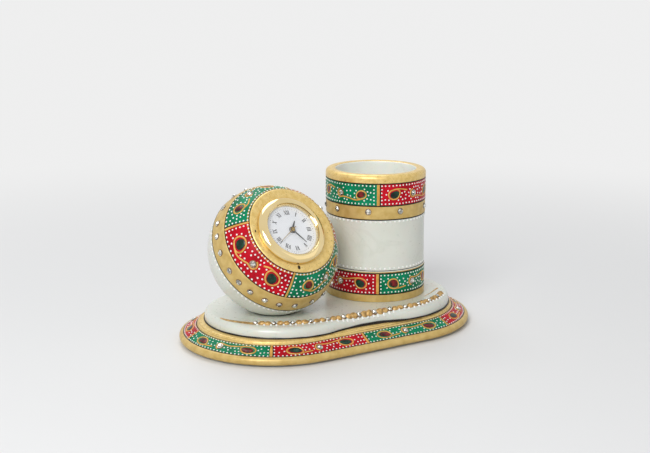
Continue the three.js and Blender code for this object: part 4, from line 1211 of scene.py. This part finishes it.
clock = {
    'proud': 1.2, 'gap': 0.3, 'bezelRadius': 18.3, 'bezelEdge': 0.6, 'bezelTop': 2.3, 'skirt': 3.6,
    'skirtRadius': 17.1, 'skirtWall': 0.7, 'crest': 0.5, 'lensPocket': 14.3, 'lensSeat': 1.0, 'sight': 13.3,
    'chamfer': 0.12, 'lens': 14.0, 'lensBack': 1.25, 'lensThick': 0.6, 'lensCrown': 0.35, 'dialTop': -0.2,
    'dial': 15.6, 'dialThick': 0.3, 'dialHole': 1.5, 'dialTurn': 4.5,
}
faceCentre = ballCentre + clockAxis * (ball['lipFace'] + clock['proud']) + boreShift


def onFace(x, y, z):
    # the clock's own frame: x to the right and y up on the dial, z out of it
    return (faceCentre + clockSide * x + clockUp * y + clockAxis * z) * mm


def onFaceRound(radius, turn, height):
    return onFace(radius * math.sin(turn), radius * math.cos(turn), height)


def buildBezel():
    under = clock['dialTop'] + clock['gap']
    skirt, skirtIn = clock['skirtRadius'], clock['skirtRadius'] - clock['skirtWall']
    flange = clock['gap'] - clock['proud']
    low = flange + clock['bezelEdge']
    inner = clock['lensPocket'] + clock['crest']
    outer, top = clock['bezelRadius'], clock['bezelTop']
    pocket, chamfer = clock['lensPocket'], clock['chamfer']
    profile = [[clock['sight'], under], [skirtIn, under], [skirtIn, -clock['skirt']],
               [skirt, -clock['skirt']], [skirt, flange], [outer - 0.15, flange], [outer, flange + 0.15]]
    for step in range(15):
        turn = math.radians(90 * step / 14)
        profile.append([inner + (outer - inner) * math.cos(turn), low + (top - low) * math.sin(turn)])
    profile += [[pocket + chamfer, top], [pocket, top - chamfer], [pocket, clock['lensSeat']],
                [clock['sight'] + 0.25, clock['lensSeat']]]
    bezel = turnedPiece('bezelRing', profile, onFaceRound, 160, closed=True)
    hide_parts('bezel')
    finished(bezel, 'polishedBrass', 35, 'insert')


def buildLens():
    back, front = clock['lensBack'], clock['lensBack'] + clock['lensThick']
    radius, flat = clock['lens'], clock['lens'] - 0.1
    profile = [[0, back], [flat, back], [radius, back + 0.1], [radius, front - 0.1]]
    for step in range(11):
        share = 1 - step / 10
        profile.append([flat * share, front + clock['lensCrown'] * (1 - share ** 2)])
    lens = turnedPiece('lensGlass', profile, onFaceRound, 96)
    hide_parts('lens')
    finishes['lensGlass'] = lensMaterial()
    finished(lens, 'lensGlass', 40, 'insert')


def buildDial():
    hole, edge, top = clock['dialHole'], clock['dial'], clock['dialTop']
    back = top - clock['dialThick']
    profile = [[hole, back], [edge, back], [edge, top], [hole + 4, top], [hole, top]]
    dial = turnedPiece('dialDisc', profile, onFaceRound, 96, closed=True)
    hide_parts('dial')
    finishes['dialPaper'] = dialMaterial(faceCentre * mm, clockAxis)
    finished(dial, 'dialPaper', 30, 'insert')


# a letter has its width, its strokes as x, height, x, height and weight, where a height of 1 is the
# letter's, and its serifs as x and half length, at the top alone for V
numerals = {
    'words': ['XII', 'I', 'II', 'III', 'IIII', 'V', 'VI', 'VII', 'VIII', 'IX', 'X', 'XI'], 'serif': 0.13,
    'I': (0.78, [(0.39, 0, 0.39, 1, 0.42)], [(0.39, 0.3)]),
    'V': (1.45, [(0.28, 1, 0.725, 0, 0.42), (1.2, 1, 0.725, 0, 0.18)], [(0.28, 0.32), (1.2, 0.26)]),
    'X': (1.5, [(0.25, 1, 1.25, 0, 0.42), (1.25, 1, 0.25, 0, 0.18)], [(0.28, 0.3), (1.22, 0.3)]),
    'radius': 9.8, 'tall': 2.2, 'widest': 3.3, 'tick': (11.75, 12.2),
    'minuteTick': 0.12, 'hourTick': 0.28, 'ink': 0.03,
}


def inked(start, end, width, turn, middle=0.0, squeeze=1.0, rise=0.0):
    # one pen stroke as a thin box of ink, laid on the dial at its hour
    way = (Vector(end) - Vector(start)).normalized()
    side = Vector((-way.y, way.x)) * width / 2
    corners = [Vector(start) + side, Vector(start) - side, Vector(end) - side, Vector(end) + side]
    ink = sweptLoops('ink', [[Vector((*corner, height)) for corner in corners]
                             for height in (0.0, numerals['ink'])])
    for vert in ink.data.vertices:
        x, y = (vert.co.x - middle) * squeeze, vert.co.y + rise
        vert.co = onFace(x * math.cos(turn) + y * math.sin(turn), y * math.cos(turn) - x * math.sin(turn),
                         clock['dialTop'] + 0.01 + vert.co.z)
    return ink


def buildNumerals():
    tall, inks = numerals['tall'], []
    for hour, word in enumerate(numerals['words']):
        left, parts = 0.0, []
        for letter in word:
            wide, lineRows, feet = numerals[letter]
            parts += [((left + a, b * tall), (left + c, d * tall), weight)
                      for a, b, c, d, weight in lineRows]
            for x, half in feet:
                for height in (tall,) if letter == 'V' else (tall, 0):
                    parts.append(((left + x - half, height), (left + x + half, height), numerals['serif']))
            left += wide
        turn = math.radians(30 * hour + clock['dialTurn'])
        squeeze, rise = min(1.0, numerals['widest'] / left), numerals['radius'] - tall / 2
        inks += [inked(*part, turn, left / 2, squeeze, rise) for part in parts]
    inner, outer = numerals['tick']
    for minute in range(60):
        width = numerals['minuteTick'] if minute % 5 else numerals['hourTick']
        inks.append(inked((0, inner), (0, outer), width, math.radians(6 * minute + clock['dialTurn'])))
    joined('dialNumerals', inks, 'dialInk', 0, 'insert')


def buildLipMarks():
    # two small dark marks in the gold of the lip: angle, radius, half length and half width; the first is
    # painted shade, for the dark of the notch at the lip's edge where the bore shows
    marks = []
    for angle, radius, long, wide in ((-166.5, 20.9, 1.15, 0.75), (-84, 21.3, 0.35, 0.75)):
        mark = domeDot(1.0, 0.06, 10)
        for vert in mark.data.vertices:
            vert.co = onBallAxis(angle + math.degrees(vert.co.y * wide / radius),
                                 ball['lipFace'] + 0.01 + vert.co.z, radius + vert.co.x * long)
        marks.append(mark)
    joined('lipMarksAndNotchShade', marks, 'darkInkAndPaintedShade')


buildBezel()
buildLens()
buildLipMarks()
buildDial()
buildNumerals()
print("stage: insert clock")


# finishes of the carried nodes

carried = {
    'blackPlastic': ['clock_case', 'battery_hatch'],
    'clearRubber': ['grip_sleeve'],
    'creamPlastic': ['hour_wheel', 'motion_wheel', 'setting_knob', 'third_wheel', 'step_wheel', 'main_plate',
                     'rear_bridge'],
    'gearBrass': ['cannon_pinion', 'centre_wheel', 'seconds_wheel', 'minus_contact', 'plus_contact'],
    'handBrass': ['second_hand'],
    'handBlack': ['hour_hand', 'minute_hand'],
    'steel': ['movement_screw_1', 'movement_screw_2', 'movement_screw_3', 'stator', 'battery'],
    'magnet': ['rotor'],
    'copperWire': ['coil'],
    'board': ['circuit_board'],
    'felt': ['felt_pad_1', 'felt_pad_2', 'felt_pad_3', 'felt_pad_4'],
}
for finish, nodes in carried.items():
    for node in nodes:
        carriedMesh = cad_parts[node].data
        carriedMesh.materials.clear()
        carriedMesh.materials.append(finishes[finish])
print("stage: carried nodes")


# floor, lamps and world

studio = {
    'floorColour': (0.80, 0.80, 0.80), 'skyColour': (0.96, 0.98, 1.0), 'skyStrength': 0.4,
    'background': (0.86, 0.86, 0.86), 'near': 0.14, 'far': 0.6, 'aim': (0, 0, 0.035),
    # the place of each lamp, its size and its power
    'lamps': {
        'keyLamp': ((-0.75, -0.55, 0.65), 0.5, 7.3),
        'fillLamp': ((0.55, -0.85, 0.45), 0.7, 0.4),
        'topLamp': ((0.1, 0.45, 0.95), 0.7, 3.8),
    },
}


def paleToCamera(tree, output, shader, plain, amount=1.0):
    # the camera, gloss and glass see the pale background, everything else sees the real light
    path = addNode(tree, 'LightPath', {}).node.outputs
    seen = path['Is Camera Ray']
    for ray in ('Is Glossy Ray', 'Is Transmission Ray'):
        seen = addNode(tree, 'Math', {0: seen, 1: path[ray]}, operation='MAXIMUM')
    seen = addNode(tree, 'Math', {0: seen, 1: amount}, operation='MULTIPLY')
    backdrop = addNode(tree, plain, {'Color': (*studio['background'], 1)})
    blend = addNode(tree, 'MixShader', {0: seen, 1: shader.outputs[0], 2: backdrop})
    setSockets(tree, tree.nodes[output], {'Surface': blend})


def buildStudio():
    nothingSelected()
    bpy.ops.mesh.primitive_grid_add(x_subdivisions=4, y_subdivisions=4, size=30, location=(0, 0, -0.00002))
    floor = named(bpy.context.object, 'floor')
    bpy.ops.object.transform_apply(location=True, rotation=True, scale=True)
    material, tree, shader = newMaterial('floorPaint', {
        'Base Color': (*studio['floorColour'], 1), 'Roughness': 0.6, 'Specular IOR Level': 0.2,
    })
    # far from the object the floor goes over into the pale background
    spot = addNode(tree, 'TexCoord', {}, 'Object')
    away = addNode(tree, 'VectorMath', {0: spot}, 'Value', operation='LENGTH')
    far = addNode(tree, 'MapRange', {'Value': away, 'From Min': studio['near'], 'From Max': studio['far']},
                  interpolation_type='SMOOTHSTEP')
    paleToCamera(tree, 'Material Output', shader, 'Emission', far)
    floor.data.materials.append(material)

    world = bpy.data.worlds.new('studio')
    world.use_nodes = True
    bpy.context.scene.world = world
    light = world.node_tree.nodes['Background']
    sky = {'Color': (*studio['skyColour'], 1), 'Strength': studio['skyStrength']}
    setSockets(world.node_tree, light, sky)
    paleToCamera(world.node_tree, 'World Output', light, 'Background')

    for name, (place, size, power) in studio['lamps'].items():
        nothingSelected()
        facing = (Vector(studio['aim']) - Vector(place)).to_track_quat('-Z', 'Y').to_euler()
        bpy.ops.object.light_add(type='AREA', location=place, rotation=facing)
        lamp = named(bpy.context.object, name)
        lamp.data.size = size
        lamp.data.energy = power


buildStudio()
bpy.context.scene.view_settings.view_transform = 'Standard'
print("stage: floor and lamps")
